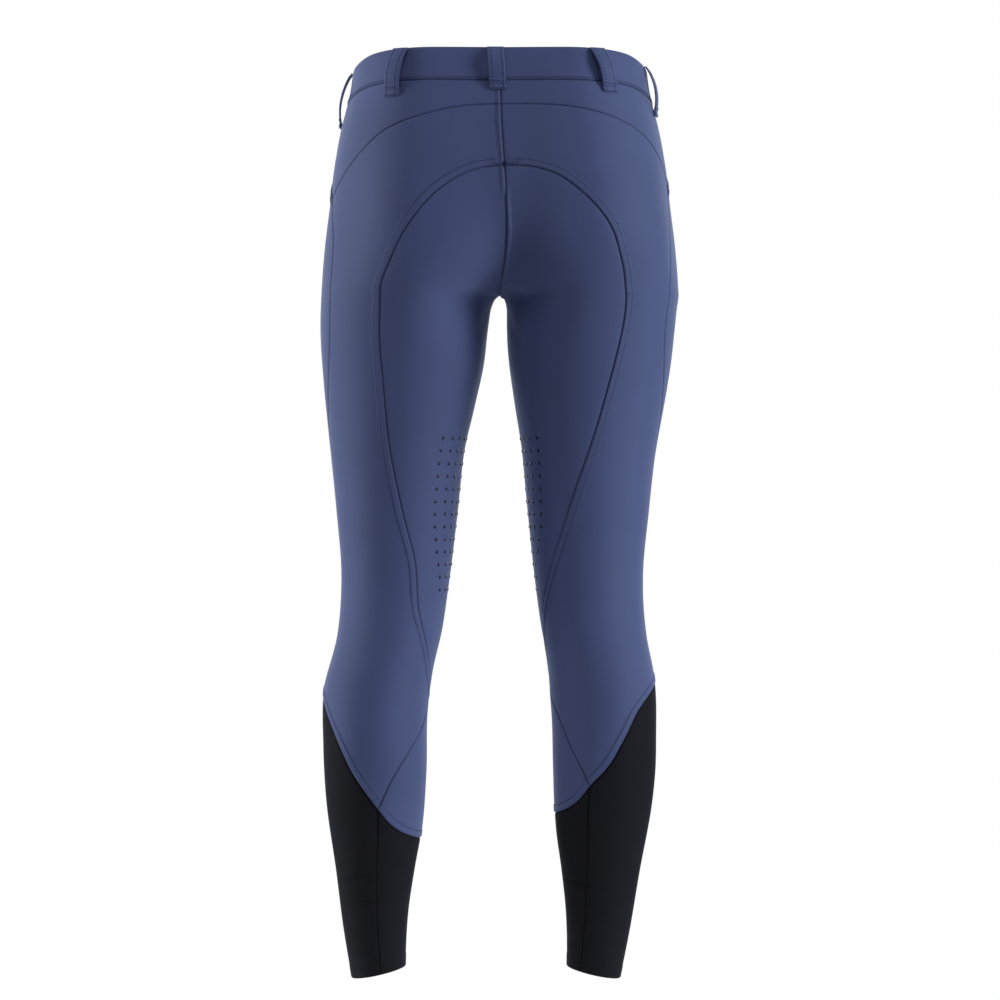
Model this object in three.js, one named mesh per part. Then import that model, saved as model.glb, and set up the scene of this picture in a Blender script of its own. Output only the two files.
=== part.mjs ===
// Riding breeches, worn form with no wearer: a stretch garment of shaped panels with a
// waistband, belt loops, slanted front pockets and close stretch cuffs at the ankles.
// Millimetres, +Z up. The front of the garment faces -Y and the wearer's left is +X.
// The origin is the middle of the waist, where the wearer holds the garment up.
import * as THREE from "three";
import { mergeVertices } from "three/addons/utils/BufferGeometryUtils.js";

// Cloth and trim sizes
const CLOTH = 1.5;
const CUFF_CLOTH = 1.2;
const BAND_CLOTH = 2.2;
const BAND_PROUD = 0.4;
const CUFF_SUNK = 0.4;
const SEAM_GAP = 0.3;
const BAND_HEIGHT = 33.5;
const LOOP = { width: 17, cloth: 1.6, clear: 6.6, seat: 0.35, below: 1 };
const BUTTON = { radius: 8, rim: 6.2, high: 2.6, dish: 0.7, besideMiddle: 14, seat: 0.3 };

// Lowest point of the crotch seam: height, and place from front to back
const CROTCH = { z: -211, y: 8 };

// Widest places of one half of the garment, as level rings: the front, outer and back points
const rings = {
  columns: ["z", "xFront", "yFront", "xOut", "yOut", "xBack", "yBack"],
  rows: [
    [36, 60, -97, 149, 2, 66, 101],
    [0, 60, -104, 153.5, 0, 70, 108],
    [-40, 62, -109, 163.5, 0, 74, 116],
    [-80, 64, -111, 170.5, 2, 78, 124],
    [-120, 68, -111, 175, 3, 82, 128],
    [-160, 74, -108, 180, 2, 85, 127],
    [-200, 82, -103, 183.3, 0, 88, 118],
    [-245, 91, -97, 185, -4, 93, 101],
    [-300, 97, -92, 181.8, -8, 98, 84],
    [-360, 101, -86, 176, -11, 103, 71],
    [-430, 104, -79, 169, -11, 106, 60],
    [-500, 106, -73, 163.8, -9, 108, 53],
    [-560, 113, -66, 167.8, 0, 114, 60],
    [-615, 126, -55, 181.2, 8, 127, 69],
    [-670, 128, -48, 181.8, 12, 129, 70],
    [-730, 127, -43, 178.5, 12, 128, 62],
    [-800, 128, -40, 169, 6, 129, 45],
    [-860, 129, -37, 161.5, 3, 129, 38],
    [-915, 125, -38, 152.5, 0, 125, 36],
  ],
};

// The middle seam above the crotch; reach says how gently each ring meets it
const middleSeam = {
  columns: ["z", "yFront", "yBack", "reach"],
  rows: [
    [36, -96, 100, 30],
    [0, -103.5, 106, 32],
    [-40, -108, 113, 34],
    [-80, -109, 119.5, 34],
    [-120, -105, 121, 32],
    [-150, -93, 114, 26],
    [-175, -74, 99, 18],
    [-190, -55, 82, 12],
    [-200, -37, 64, 8],
    [-207, -18, 43, 5],
    [-211, 8, 8, 4],
  ],
};

// The innermost line of the leg below the crotch
const innerLeg = {
  columns: ["z", "x", "y", "reach"],
  rows: [
    [-211, 0, 8, 4],
    [-224, 9, 6, 22],
    [-245, 12.4, 3, 38],
    [-286, 17.5, 0, 46],
    [-327, 26.8, -4, 45],
    [-369, 36.5, -7, 42],
    [-430, 43.3, -9, 38],
    [-513, 53.6, -9, 35],
    [-554, 59.7, -5, 35],
    [-595, 69, 2, 33],
    [-636, 74.2, 8, 32],
    [-700, 75.5, 11, 31],
    [-760, 80.3, 9, 26],
    [-801, 87.6, 5, 23],
    [-842, 93.7, 2, 21],
    [-898, 96.8, 0, 20],
    [-915, 97, 0, 20],
  ],
};

// How much nearer the middle the right leg hangs than the left
const rightLegSway = {
  columns: ["z", "inward"],
  rows: [
    [-211, 0],
    [-224, 2.5],
    [-245, 5],
    [-286, 7.5],
    [-327, 10.8],
    [-369, 14],
    [-430, 15],
    [-513, 16.3],
    [-574, 17.3],
    [-616, 21],
    [-700, 21],
    [-760, 23],
    [-842, 26.5],
    [-915, 29],
  ],
};

// How far the middle back seam bows towards the right
const seatBow = {
  columns: ["z", "x"],
  rows: [
    [-15, 0],
    [-50, 1.5],
    [-86, 4],
    [-121, 6],
    [-160, 6.5],
    [-190, 3.5],
    [-208, 0],
  ],
};
const BOW_REACH = { from: 30, to: 105 };

// Bottom edge of the waistband: it drops from back to front
const bandDrop = {
  columns: ["y", "z"],
  rows: [
    [108, 0],
    [88, -1.5],
    [70, -3.5],
    [48, -7.7],
    [15, -12.8],
    [-20, -19],
    [-60, -28],
    [-104, -36],
  ],
};

// Seams over the back, as distance out from the middle seam and height, on each leg
const yokeSeam = {
  columns: ["leftX", "leftZ", "rightX", "rightZ"],
  rows: [
    [0, -25, 0, -25],
    [30, -26, 30, -25],
    [60, -31, 60, -26.5],
    [90, -39.5, 90, -31],
    [118, -51, 118, -39],
    [138, -66, 140, -50],
    [152, -80.5, 156, -66],
    [162, -95, 166, -83],
  ],
};
const archSeam = {
  columns: ["leftX", "leftZ", "rightX", "rightZ"],
  rows: [
    [0, -87, 0, -87],
    [26, -90, 26, -88],
    [52, -101, 52, -96],
    [74, -117, 74, -112],
    [93, -138, 93, -132],
    [107, -161, 106, -153],
    [117, -190, 117, -183],
    [120, -226, 127, -216],
    [120, -278, 123, -278],
    [115, -340, 111, -340],
    [101, -424, 88, -420],
    [87, -481, 69, -485],
    [80, -545, 60, -540],
  ],
};
const calfSeam = {
  columns: ["leftX", "leftZ", "rightX", "rightZ"],
  rows: [
    [79, -651, 82, -642],
    [91, -673, 93, -670],
    [109, -702, 105, -694],
    [124, -733, 112, -709],
  ],
};
// Where the arch, calf and front inner seams meet at the inner calf
const calfPoint = {
  left: { around: 0, z: -622 },
  right: { around: 14, z: -600 },
};

// Seam at the front of the inner leg, as distance round from the innermost line
const frontInnerSeam = {
  columns: ["around", "z"],
  rows: [
    [52, -215],
    [46, -240],
    [44, -275],
    [45, -330],
    [46, -400],
    [44, -470],
    [37, -530],
    [25, -576],
  ],
};
const FRONT_JOINT_Z = -190;

// Side seam, as distance behind the outermost line
const sideSeam = {
  columns: ["z", "behind"],
  rows: [
    [-15, -6],
    [-60, 8],
    [-110, 32],
    [-155, 54],
    [-233, 56],
    [-267, 49],
    [-320, 28],
    [-379, 3],
    [-440, -16],
    [-500, -26],
    [-560, -32],
    [-610, -34],
  ],
};
const SIDE_JOINT_Z = { left: -113, right: -104 };
const POCKET_TOP_X = 92;

// Hem of the main cloth over the cuff: across the back, then across the front
const hemBack = {
  columns: ["leftX", "leftZ", "rightX", "rightZ"],
  rows: [
    [124, -733, 112, -709],
    [148, -698, 130, -689],
    [168, -657, 147, -661],
    [177, -635, 163, -631],
    [181, -622, 177, -612],
  ],
};
const hemFront = {
  columns: ["leftX", "leftZ", "rightX", "rightZ"],
  rows: [
    [88, -761, 84, -735],
    [105, -745, 98, -722],
    [123, -720, 114, -703],
    [144, -682, 136, -670],
    [162, -642, 155, -631],
  ],
};
const hemInner = {
  columns: ["leftX", "leftZ", "rightX", "rightZ"],
  rows: [
    [110, -750, 100, -725],
    [95, -760, 87, -735],
  ],
};
const HEM_LOWEST_Z = { left: -766, right: -740 };
const HEM_HIGHEST_Z = { left: -610, right: -598 };
const ANKLE = { outerZ: -911, innerZ: -899 };

// Ends of the cuff's back seam at the ankle, as distance out from the middle
const CUFF_SEAM_X = { left: 122, right: 110 };

// Belt loops: distance round from the middle back at the waist, lean outwards on the way down,
// and how far the foot is sewn below the waistband
const beltLoops = {
  columns: ["name", "side", "fromBack", "lean", "drop"],
  rows: [
    ["loop_back", "left", 5, -3, 9.5],
    ["loop_back_left", "left", 101, 7, 12.5],
    ["loop_back_right", "right", 100, 9, 10],
    ["loop_side_left", "left", 224, 0, 23],
    ["loop_side_right", "right", 199, 2, 16],
    ["loop_front_left", "left", 345, 0, 12],
    ["loop_front_right", "right", 345, 0, 12],
  ],
};

// Number of facets along each seam and across each panel
const STEPS = {
  middle: 4,
  arch: 14,
  calf: 4,
  yoke: 10,
  yokeSide: 4,
  bandFront: 5,
  bandPocket: 4,
  seatToCrotch: 5,
  crotchToFront: 3,
  band: 2,
  cuff: 8,
  ring: 28,
  loopLong: 14,
  loopWide: 2,
  button: 24,
};
const CURVE_FULLNESS = 0.56;
const PROBE = 0.6;
const MERGE = 1e-4;
const POINT_BACK = 1.2;
const EASING_PASSES = 80;

// Smooth value of a table's column at a place in its first column
function track(table, column, at, key = (value) => value) {
  const c = table.columns.indexOf(column);
  const x = table.rows.map((row) => key(row[0]));
  const y = table.rows.map((row) => row[c]);
  const last = x.length - 1;
  const sign = Math.sign(x[1] - x[0]);
  const t = key(at);
  let i = 0;
  while (i < last - 1 && sign * (t - x[i + 1]) > 0) {
    i += 1;
  }
  const rise = (k) => (y[k + 1] - y[k]) / (x[k + 1] - x[k]);
  const slope = (k) => {
    if (k === 0 || k === last) {
      return rise(Math.min(k, last - 1));
    }
    const before = x[k] - x[k - 1];
    const after = x[k + 1] - x[k];
    return (rise(k - 1) * after + rise(k) * before) / (before + after);
  };
  const span = x[i + 1] - x[i];
  const s = (t - x[i]) / span;
  const s2 = s * s;
  const s3 = s2 * s;
  return y[i] * (2 * s3 - 3 * s2 + 1) + slope(i) * span * (s3 - 2 * s2 + s)
    + y[i + 1] * (3 * s2 - 2 * s3) + slope(i + 1) * span * (s3 - s2);
}

// Value held level beyond the ends of the table
function trackHeld(table, column, at) {
  const first = table.rows[0][0];
  const last = table.rows[table.rows.length - 1][0];
  const held = Math.min(Math.max(at, Math.min(first, last)), Math.max(first, last));
  return track(table, column, held);
}

// The middle seam and the inner leg both curve level at the crotch, so their tables are read
// against the root of the distance from it
function fromCrotch(z) {
  return Math.sign(z - CROTCH.z) * Math.sqrt(Math.abs(z - CROTCH.z));
}

function smoothStep(from, to, value) {
  const t = Math.min(Math.max((value - from) / (to - from), 0), 1);
  return t * t * (3 - 2 * t);
}

// One ring of the half garment: from its inner front end, round the outside, to its inner back
// end. Above the crotch the ends lie on the middle seam; below it they are the same point.
const ringCache = new Map();
function ring(z) {
  const key = z.toFixed(2);
  if (ringCache.has(key)) {
    return ringCache.get(key);
  }
  const size = {};
  for (const name of rings.columns.slice(1)) {
    size[name] = track(rings, name, z);
  }
  const above = z > CROTCH.z;
  const ends = above ? middleSeam : innerLeg;
  const end = (column) => track(ends, column, z, fromCrotch);
  const frontEnd = above ? [0, end("yFront")] : [end("x"), end("y")];
  const backEnd = above ? [0, end("yBack")] : frontEnd;
  const reach = end("reach");
  const frontHandle = above ? [reach, 0] : [0, -reach];
  const backHandle = above ? [reach, 0] : [0, reach];
  const front = [size.xFront, size.yFront];
  const outer = [size.xOut, size.yOut];
  const back = [size.xBack, size.yBack];
  const k = CURVE_FULLNESS;
  const curves = [
    [frontEnd, [frontEnd[0] + frontHandle[0], frontEnd[1] + frontHandle[1]],
      [front[0] - k * (front[0] - frontEnd[0]), front[1]], front],
    [front, [front[0] + k * (outer[0] - front[0]), front[1]],
      [outer[0], outer[1] - k * (outer[1] - front[1])], outer],
    [outer, [outer[0], outer[1] + k * (back[1] - outer[1])],
      [back[0] + k * (outer[0] - back[0]), back[1]], back],
    [back, [back[0] - k * (back[0] - backEnd[0]), back[1]],
      [backEnd[0] + backHandle[0], backEnd[1] + backHandle[1]], backEnd],
  ];
  const points = [frontEnd];
  for (const [a, b, c, d] of curves) {
    for (let i = 1; i <= STEPS.ring; i += 1) {
      const t = i / STEPS.ring;
      const u = 1 - t;
      points.push([0, 1].map((n) => u * u * u * a[n] + 3 * u * u * t * b[n]
        + 3 * u * t * t * c[n] + t * t * t * d[n]));
    }
  }
  const along = [0];
  for (let i = 1; i < points.length; i += 1) {
    along.push(along[i - 1] + Math.hypot(points[i][0] - points[i - 1][0],
      points[i][1] - points[i - 1][1]));
  }
  const made = {
    points,
    along,
    length: along[along.length - 1],
    frontGap: above ? CROTCH.y - frontEnd[1] : 0,
    backGap: above ? backEnd[1] - CROTCH.y : 0,
  };
  ringCache.set(key, made);
  return made;
}

// Places on the half garment are given as { a, z }: the height, and the distance round from the
// innermost line, forwards as positive. Above the crotch the distance also counts the way from
// the crotch to the middle seam, which lays the cloth open flat there.
function ringPoint(z, distance) {
  const { points, along, length } = ring(z);
  const s = z > CROTCH.z
    ? Math.min(Math.max(distance, 0), length)
    : ((distance % length) + length) % length;
  let low = 0;
  let high = along.length - 1;
  while (high - low > 1) {
    const mid = (low + high) >> 1;
    if (along[mid] > s) {
      high = mid;
    } else {
      low = mid;
    }
  }
  const f = (s - along[low]) / (along[high] - along[low] || 1);
  return [0, 1].map((n) => points[low][n] + f * (points[high][n] - points[low][n]));
}

function distanceAround(a, z) {
  const r = ring(z);
  if (z <= CROTCH.z) {
    return a;
  }
  return a >= 0 ? a - r.frontGap : a + r.backGap + r.length;
}

function surfacePoint(a, z) {
  const [x, y] = ringPoint(z, distanceAround(a, z));
  return new THREE.Vector3(x, y, z);
}

function girth(z) {
  const r = ring(z);
  return r.frontGap + r.length + r.backGap;
}

// The same place, counted round the back instead of round the front
const roundBack = ({ a, z }) => ({ a: a - girth(z), z });

// The place at a distance x out from the middle, on the back or the front of the half garment
function acrossBack(x, z) {
  const { points, along, length, backGap } = ring(z);
  let i = points.length - 1;
  while (i > 2 * STEPS.ring && points[i - 1][0] < x) {
    i -= 1;
  }
  const f = Math.min(Math.max((x - points[i][0]) / (points[i - 1][0] - points[i][0] || 1), 0), 1);
  const s = along[i] + f * (along[i - 1] - along[i]);
  return { a: s - length - backGap, z };
}

function acrossFront(x, z) {
  const { points, along, frontGap } = ring(z);
  let i = 0;
  while (i < 2 * STEPS.ring && points[i + 1][0] < x) {
    i += 1;
  }
  const f = Math.min(Math.max((x - points[i][0]) / (points[i + 1][0] - points[i][0] || 1), 0), 1);
  const s = along[i] + f * (along[i + 1] - along[i]);
  return { a: s + frontGap, z };
}

function behindOuter(behind, z) {
  const { along, frontGap } = ring(z);
  return { a: along[2 * STEPS.ring] + behind + frontGap, z };
}

// A smooth line through places, resampled to an even number of steps
function smoothLine(places, steps) {
  const curve = new THREE.CatmullRomCurve3(
    places.map((p) => new THREE.Vector3(p.a, p.z, 0)), false, "centripetal");
  curve.arcLengthDivisions = 400;
  return Array.from({ length: steps + 1 }, (_, i) => {
    const p = curve.getPointAt(i / steps);
    return { a: p.x, z: p.y };
  });
}

const seamPlaces = (table, side, place) => table.rows.map((row) => {
  const x = row[table.columns.indexOf(side + "X")];
  const z = row[table.columns.indexOf(side + "Z")];
  return place(x, z);
});

// The waistband's bottom edge at a share of the way from the middle front to the middle back
function bandEdge(share) {
  let z = -15;
  for (let i = 0; i < 6; i += 1) {
    const { length } = ring(z);
    z = track(bandDrop, "z", ringPoint(z, share * length)[1]);
  }
  const { length, frontGap } = ring(z);
  return { a: share * length + frontGap, z };
}

// The share of the way round at which the band edge reaches a place
function bandShare(reached) {
  let low = 0;
  let high = 1;
  for (let i = 0; i < 30; i += 1) {
    const mid = (low + high) / 2;
    if (reached(bandEdge(mid))) {
      high = mid;
    } else {
      low = mid;
    }
  }
  return (low + high) / 2;
}

const evenShares = (from, to, steps) => Array.from({ length: steps + 1 },
  (_, i) => bandEdge(from + (to - from) * i / steps));

// All seams of one half, each from its shared points, so that neighbours match
function seamsOf(side) {
  const pocketShare = bandShare((p) => surfacePoint(p.a, p.z).x > POCKET_TOP_X);
  const sideShare = bandShare((p) => p.a > behindOuter(trackHeld(sideSeam, "behind", p.z), p.z).a);
  const bandFront = evenShares(0, pocketShare, STEPS.bandFront);
  const bandPocket = evenShares(pocketShare, sideShare, STEPS.bandPocket);
  const bandBack = evenShares(sideShare, 1, STEPS.yoke);

  const sideZ = SIDE_JOINT_Z[side];
  const onSide = (z) => behindOuter(track(sideSeam, "behind", z), z);
  const bandSide = bandPocket[STEPS.bandPocket];
  const sideUpper = smoothLine(
    [bandSide, onSide((2 * bandSide.z + sideZ) / 3), onSide((bandSide.z + 2 * sideZ) / 3),
      onSide(sideZ)], STEPS.yokeSide);
  const pocketTop = bandPocket[0];
  const sideJoint = sideUpper[STEPS.yokeSide];
  const mouthBend = {
    a: pocketTop.a * 0.42 + sideJoint.a * 0.58,
    z: pocketTop.z * 0.5 + sideJoint.z * 0.5,
  };
  const mouth = smoothLine([pocketTop, mouthBend, sideJoint], 2 * STEPS.bandPocket);

  const yoke = smoothLine([...seamPlaces(yokeSeam, side, acrossBack), roundBack(sideJoint)],
    STEPS.yoke);
  const point = { a: calfPoint[side].around, z: calfPoint[side].z };
  const arch = smoothLine([...seamPlaces(archSeam, side, acrossBack), point], STEPS.arch);
  const calf = smoothLine([point, ...seamPlaces(calfSeam, side, acrossBack)], STEPS.calf);

  const joint = acrossFront(0, FRONT_JOINT_Z);
  const inner = smoothLine(
    [joint, ...frontInnerSeam.rows.map(([a, z]) => ({ a, z })), point], STEPS.arch);

  const rise = (column, from, to, steps) => Array.from({ length: steps + 1 }, (_, i) => {
    const f = fromCrotch(from) + (fromCrotch(to) - fromCrotch(from)) * i / steps;
    const z = CROTCH.z + f * f;
    const away = Math.abs(track(middleSeam, column, z, fromCrotch) - CROTCH.y);
    return { a: column === "yBack" ? -away : away, z };
  });
  const middleFront = rise("yFront", bandFront[0].z, FRONT_JOINT_Z, STEPS.middle);
  const middleBack = rise("yBack", yoke[0].z, arch[0].z, STEPS.middle);
  const underSeat = [
    ...rise("yBack", arch[0].z, CROTCH.z, STEPS.seatToCrotch).slice(0, -1),
    ...rise("yFront", CROTCH.z, FRONT_JOINT_Z, STEPS.crotchToFront),
  ];

  const hemTop = behindOuter(track(sideSeam, "behind", HEM_HIGHEST_Z[side]), HEM_HIGHEST_Z[side]);
  const hemOverBack = smoothLine(
    [...seamPlaces(hemBack, side, acrossBack), roundBack(hemTop)], STEPS.yoke);
  const hemOverFront = smoothLine([
    hemOverBack[0],
    ...seamPlaces(hemInner, side, acrossBack),
    { a: 0, z: HEM_LOWEST_Z[side] },
    ...seamPlaces(hemFront, side, acrossFront),
    hemTop,
  ], STEPS.bandFront + 2 * STEPS.bandPocket);

  // The side seam's rows follow those of the seams across the panel from it
  const opposite = STEPS.middle + STEPS.arch + STEPS.calf;
  const sideLower = smoothLine([sideJoint,
    ...sideSeam.rows.slice(3, -1).map(([z]) => onSide(z)), hemTop], opposite);

  return {
    bandFront, bandPocket, bandBack, sideUpper, mouth, yoke, arch, calf, inner,
    middleFront, middleBack, underSeat, hemOverBack, hemOverFront, sideLower,
  };
}

// Fills the space between four seams with rows of places, then eases the rows so that they
// follow the seams without crossing them
function fill(top, bottom, left, right) {
  const columns = top.length - 1;
  const rows = left.length - 1;
  const grid = left.map((start, j) => top.map((head, i) => {
    const s = i / columns;
    const t = j / rows;
    const mix = (name) => (1 - s) * start[name] + s * right[j][name]
      + (1 - t) * head[name] + t * bottom[i][name]
      - (1 - s) * (1 - t) * top[0][name] - s * (1 - t) * top[columns][name]
      - (1 - s) * t * bottom[0][name] - s * t * bottom[columns][name];
    return { a: mix("a"), z: mix("z") };
  }));
  for (let pass = 0; pass < EASING_PASSES; pass += 1) {
    for (let j = 1; j < rows; j += 1) {
      for (let i = 1; i < columns; i += 1) {
        ease(grid, j, i);
      }
    }
  }
  return grid;
}

// Moves one place to where the rows and columns through it bend least
function ease(grid, j, i) {
  const [west, east] = [grid[j][i - 1], grid[j][i + 1]];
  const [north, south] = [grid[j - 1][i], grid[j + 1][i]];
  const across = { a: (east.a - west.a) / 2, z: (east.z - west.z) / 2 };
  const down = { a: (south.a - north.a) / 2, z: (south.z - north.z) / 2 };
  const acrossWeight = down.a * down.a + down.z * down.z;
  const downWeight = across.a * across.a + across.z * across.z;
  const skew = across.a * down.a + across.z * down.z;
  const total = 2 * (acrossWeight + downWeight);
  for (const name of ["a", "z"]) {
    const corner = grid[j + 1][i + 1][name] - grid[j + 1][i - 1][name]
      - grid[j - 1][i + 1][name] + grid[j - 1][i - 1][name];
    grid[j][i][name] = (acrossWeight * (west[name] + east[name])
      + downWeight * (north[name] + south[name]) - skew * corner / 2) / total;
  }
}

// Outward direction of the cloth, from small steps that stay on the panel's side of its seams
function outward(place, inside) {
  const across = Math.sign(inside.a - place.a) || 1;
  const rise = Math.sign(inside.z - place.z) || -1;
  const here = surfacePoint(place.a, place.z);
  const along = surfacePoint(place.a + across * PROBE, place.z).sub(here).multiplyScalar(across);
  const up = surfacePoint(place.a, place.z + rise * PROBE).sub(here).multiplyScalar(rise);
  return along.cross(up).normalize();
}

// From the half garment's own place to its hang on the body: the right half is mirrored and
// swayed, and both follow the bow of the seat
function hang(point, side) {
  const { x, y, z } = point;
  const bow = trackHeld(seatBow, "x", z) * smoothStep(BOW_REACH.from, BOW_REACH.to, y);
  const inward = z < CROTCH.z ? trackHeld(rightLegSway, "inward", z) : 0;
  return side === "left"
    ? new THREE.Vector3(x - bow, y, z)
    : new THREE.Vector3(inward - x - bow, y, z);
}

// A closed wall from matching outer and inner point grids
function wall(outer, inner, mirrored) {
  const rows = outer.length;
  const columns = outer[0].length;
  const position = [];
  for (const face of [outer, inner]) {
    for (const row of face) {
      for (const p of row) {
        position.push(p.x, p.y, p.z);
      }
    }
  }
  const at = (face, j, i) => (face * rows + j) * columns + i;
  const index = [];
  const quad = (a, b, c, d) => index.push(a, b, c, a, c, d);
  for (let j = 0; j < rows - 1; j += 1) {
    for (let i = 0; i < columns - 1; i += 1) {
      quad(at(0, j, i), at(0, j + 1, i), at(0, j + 1, i + 1), at(0, j, i + 1));
      quad(at(1, j, i), at(1, j, i + 1), at(1, j + 1, i + 1), at(1, j + 1, i));
    }
    const end = columns - 1;
    quad(at(0, j, 0), at(1, j, 0), at(1, j + 1, 0), at(0, j + 1, 0));
    quad(at(0, j, end), at(0, j + 1, end), at(1, j + 1, end), at(1, j, end));
  }
  for (let i = 0; i < columns - 1; i += 1) {
    const end = rows - 1;
    quad(at(0, 0, i), at(0, 0, i + 1), at(1, 0, i + 1), at(1, 0, i));
    quad(at(0, end, i), at(1, end, i), at(1, end, i + 1), at(0, end, i + 1));
  }
  return closedGeometry(position, index, mirrored);
}

// One body with merged corners and no collapsed facets
function closedGeometry(position, index, mirrored) {
  const loose = new THREE.BufferGeometry();
  loose.setAttribute("position", new THREE.Float32BufferAttribute(position, 3));
  loose.setIndex(index);
  const merged = mergeVertices(loose, MERGE);
  const kept = [];
  const source = merged.index.array;
  for (let i = 0; i < source.length; i += 3) {
    const [a, b, c] = [source[i], source[i + 1], source[i + 2]];
    if (a !== b && b !== c && a !== c) {
      kept.push(...(mirrored ? [a, c, b] : [a, b, c]));
    }
  }
  merged.setIndex(kept);
  merged.computeVertexNormals();
  return merged;
}

// Places turned into the outer and inner faces of a panel, with half the seam gap off each edge
function panel(grid, side, { proud = 0, cloth = CLOTH, pointed = false } = {}) {
  const rows = grid.length - 1;
  const columns = grid[0].length - 1;
  const middle = grid[Math.round(rows / 2)][Math.round(columns / 2)];
  const points = grid.map((row) => row.map((p) => surfacePoint(p.a, p.z)));
  const normals = grid.map((row, j) => row.map((p, i) => {
    const inside = i === 0 || i === columns || j === 0 || j === rows
      ? grid[Math.min(Math.max(j, 1), rows - 1)][Math.min(Math.max(i, 1), columns - 1)]
      : middle;
    return outward(p, inside);
  }));
  const edgeIn = (j, i) => {
    const move = new THREE.Vector3();
    const add = (from, to, sign) => {
      const along = to.clone().sub(from);
      if (along.length() > PROBE) {
        move.add(along.cross(normals[j][i]).normalize().multiplyScalar(sign * SEAM_GAP / 2));
      }
    };
    const row = points[j];
    if (i === 0 || i === columns) {
      add(points[Math.max(j - 1, 0)][i], points[Math.min(j + 1, rows)][i], i === 0 ? -1 : 1);
    }
    if (j === 0 || j === rows) {
      add(row[Math.max(i - 1, 0)], row[Math.min(i + 1, columns)], j === 0 ? 1 : -1);
    }
    return move;
  };
  const place = (j, i, lift) => {
    const p = points[j][i].clone();
    if (pointed && j === rows) {
      const back = points[rows - 1][Math.round(columns / 2)].clone().sub(p).normalize();
      p.addScaledVector(back, POINT_BACK);
    } else {
      p.add(edgeIn(j, i));
    }
    return hang(p.addScaledVector(normals[j][i], lift), side);
  };
  const face = (lift) => grid.map((row, j) => row.map((_, i) => place(j, i, lift)));
  return wall(face(proud), face(proud - cloth), side === "right");
}

const garment = new THREE.Group();
const fabric = (color, roughness) => ({ color, roughness, metalness: 0 });
const MAIN = fabric(0x4c5986, 0.72);
const STRETCH = fabric(0x1a1c26, 0.85);
const METAL = { color: 0x3a3e4a, roughness: 0.35, metalness: 1 };

function addPiece(name, geometry, finish) {
  const mesh = new THREE.Mesh(geometry, new THREE.MeshStandardMaterial(finish));
  mesh.name = name;
  garment.add(mesh);
}

const reversed = (line) => [...line].reverse();
const joined = (...lines) => lines.flatMap((line, i) => (i ? line.slice(1) : line));
const ringCount = STEPS.bandFront + STEPS.bandPocket + STEPS.yoke;

for (const side of ["left", "right"]) {
  const s = seamsOf(side);

  // Waistband half, from the middle front to the middle back
  const edge = joined(s.bandFront, s.bandPocket, s.bandBack);
  const bandRows = Array.from({ length: STEPS.band + 1 }, (_, j) => edge.map((p) => {
    const share = (p.a - ring(p.z).frontGap) / ring(p.z).length;
    const z = p.z + BAND_HEIGHT * (1 - j / STEPS.band);
    return { a: share * ring(z).length + ring(z).frontGap, z };
  }));
  addPiece("waistband_" + side, panel(bandRows, side, { proud: BAND_PROUD, cloth: BAND_CLOTH }), MAIN);

  // Back yoke, between the waistband and the seam over the seat
  const sideUpperBack = s.sideUpper.map(roundBack);
  addPiece("yoke_" + side, panel(fill(
    s.bandBack.map(roundBack), reversed(s.yoke), sideUpperBack,
    Array.from({ length: STEPS.yokeSide + 1 }, (_, j) => {
      const z = s.bandBack[STEPS.yoke].z * (1 - j / STEPS.yokeSide)
        + s.yoke[0].z * j / STEPS.yokeSide;
      return { a: -ring(z).backGap, z };
    })), side), MAIN);

  // Pocket bearer, the corner that shows behind the slanted pocket mouth
  addPiece("pocket_bearer_" + side, panel(fill(
    s.bandPocket, reversed(s.mouth.slice(STEPS.bandPocket)).reverse(),
    s.mouth.slice(0, STEPS.bandPocket + 1), s.sideUpper), side), MAIN);

  // Front leg panel, which wraps round the inner calf to the slanting seam behind it
  addPiece("front_panel_" + side, panel(fill(
    joined(s.bandFront, s.mouth), s.hemOverFront,
    joined(s.middleFront, s.inner, s.calf), s.sideLower), side), MAIN);

  // Outer back leg panel, from the yoke to the hem
  addPiece("back_panel_" + side, panel(fill(
    reversed(s.yoke), reversed(s.hemOverBack),
    s.sideLower.map(roundBack), joined(s.middleBack, s.arch, s.calf)), side), MAIN);

  // Seat and inner leg panel, from the arch over the seat down to a point at the inner calf
  const point = s.arch[STEPS.arch];
  addPiece("seat_panel_" + side, panel(fill(
    s.underSeat, s.underSeat.map(() => point), s.arch, s.inner), side, { pointed: true }), MAIN);
}

// Cuffs: each one piece of stretch cloth from the hem down, closed by one seam at the back
function cuffGrid(side) {
  const s = seamsOf(side);
  const top = joined(s.hemOverFront.map(roundBack), reversed(s.hemOverBack));
  const shareOf = ({ a, z }) => a / girth(z);
  const seamTop = shareOf(s.hemOverBack[0]);
  const ankleZ = (ANKLE.outerZ + ANKLE.innerZ) / 2;
  const turned = shareOf(acrossBack(CUFF_SEAM_X[side], ankleZ)) - seamTop;
  const bottom = top.map((p) => {
    const share = shareOf(p) + turned;
    const { x } = surfacePoint(share * girth(ankleZ), ankleZ);
    const inner = track(innerLeg, "x", ankleZ, fromCrotch);
    const outer = track(rings, "xOut", ankleZ);
    const z = ANKLE.innerZ + (ANKLE.outerZ - ANKLE.innerZ) * (x - inner) / (outer - inner);
    return { share, z };
  });
  return Array.from({ length: STEPS.cuff + 1 }, (_, j) => top.map((p, i) => {
    const t = j / STEPS.cuff;
    const z = p.z + (bottom[i].z - p.z) * t;
    const share = shareOf(p) + turned * t;
    return { a: share * girth(z), z };
  }));
}
for (const side of ["left", "right"]) {
  addPiece("cuff_" + side, panel(cuffGrid(side), side, { proud: -CUFF_SUNK, cloth: CUFF_CLOTH }),
    STRETCH);
}

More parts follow.
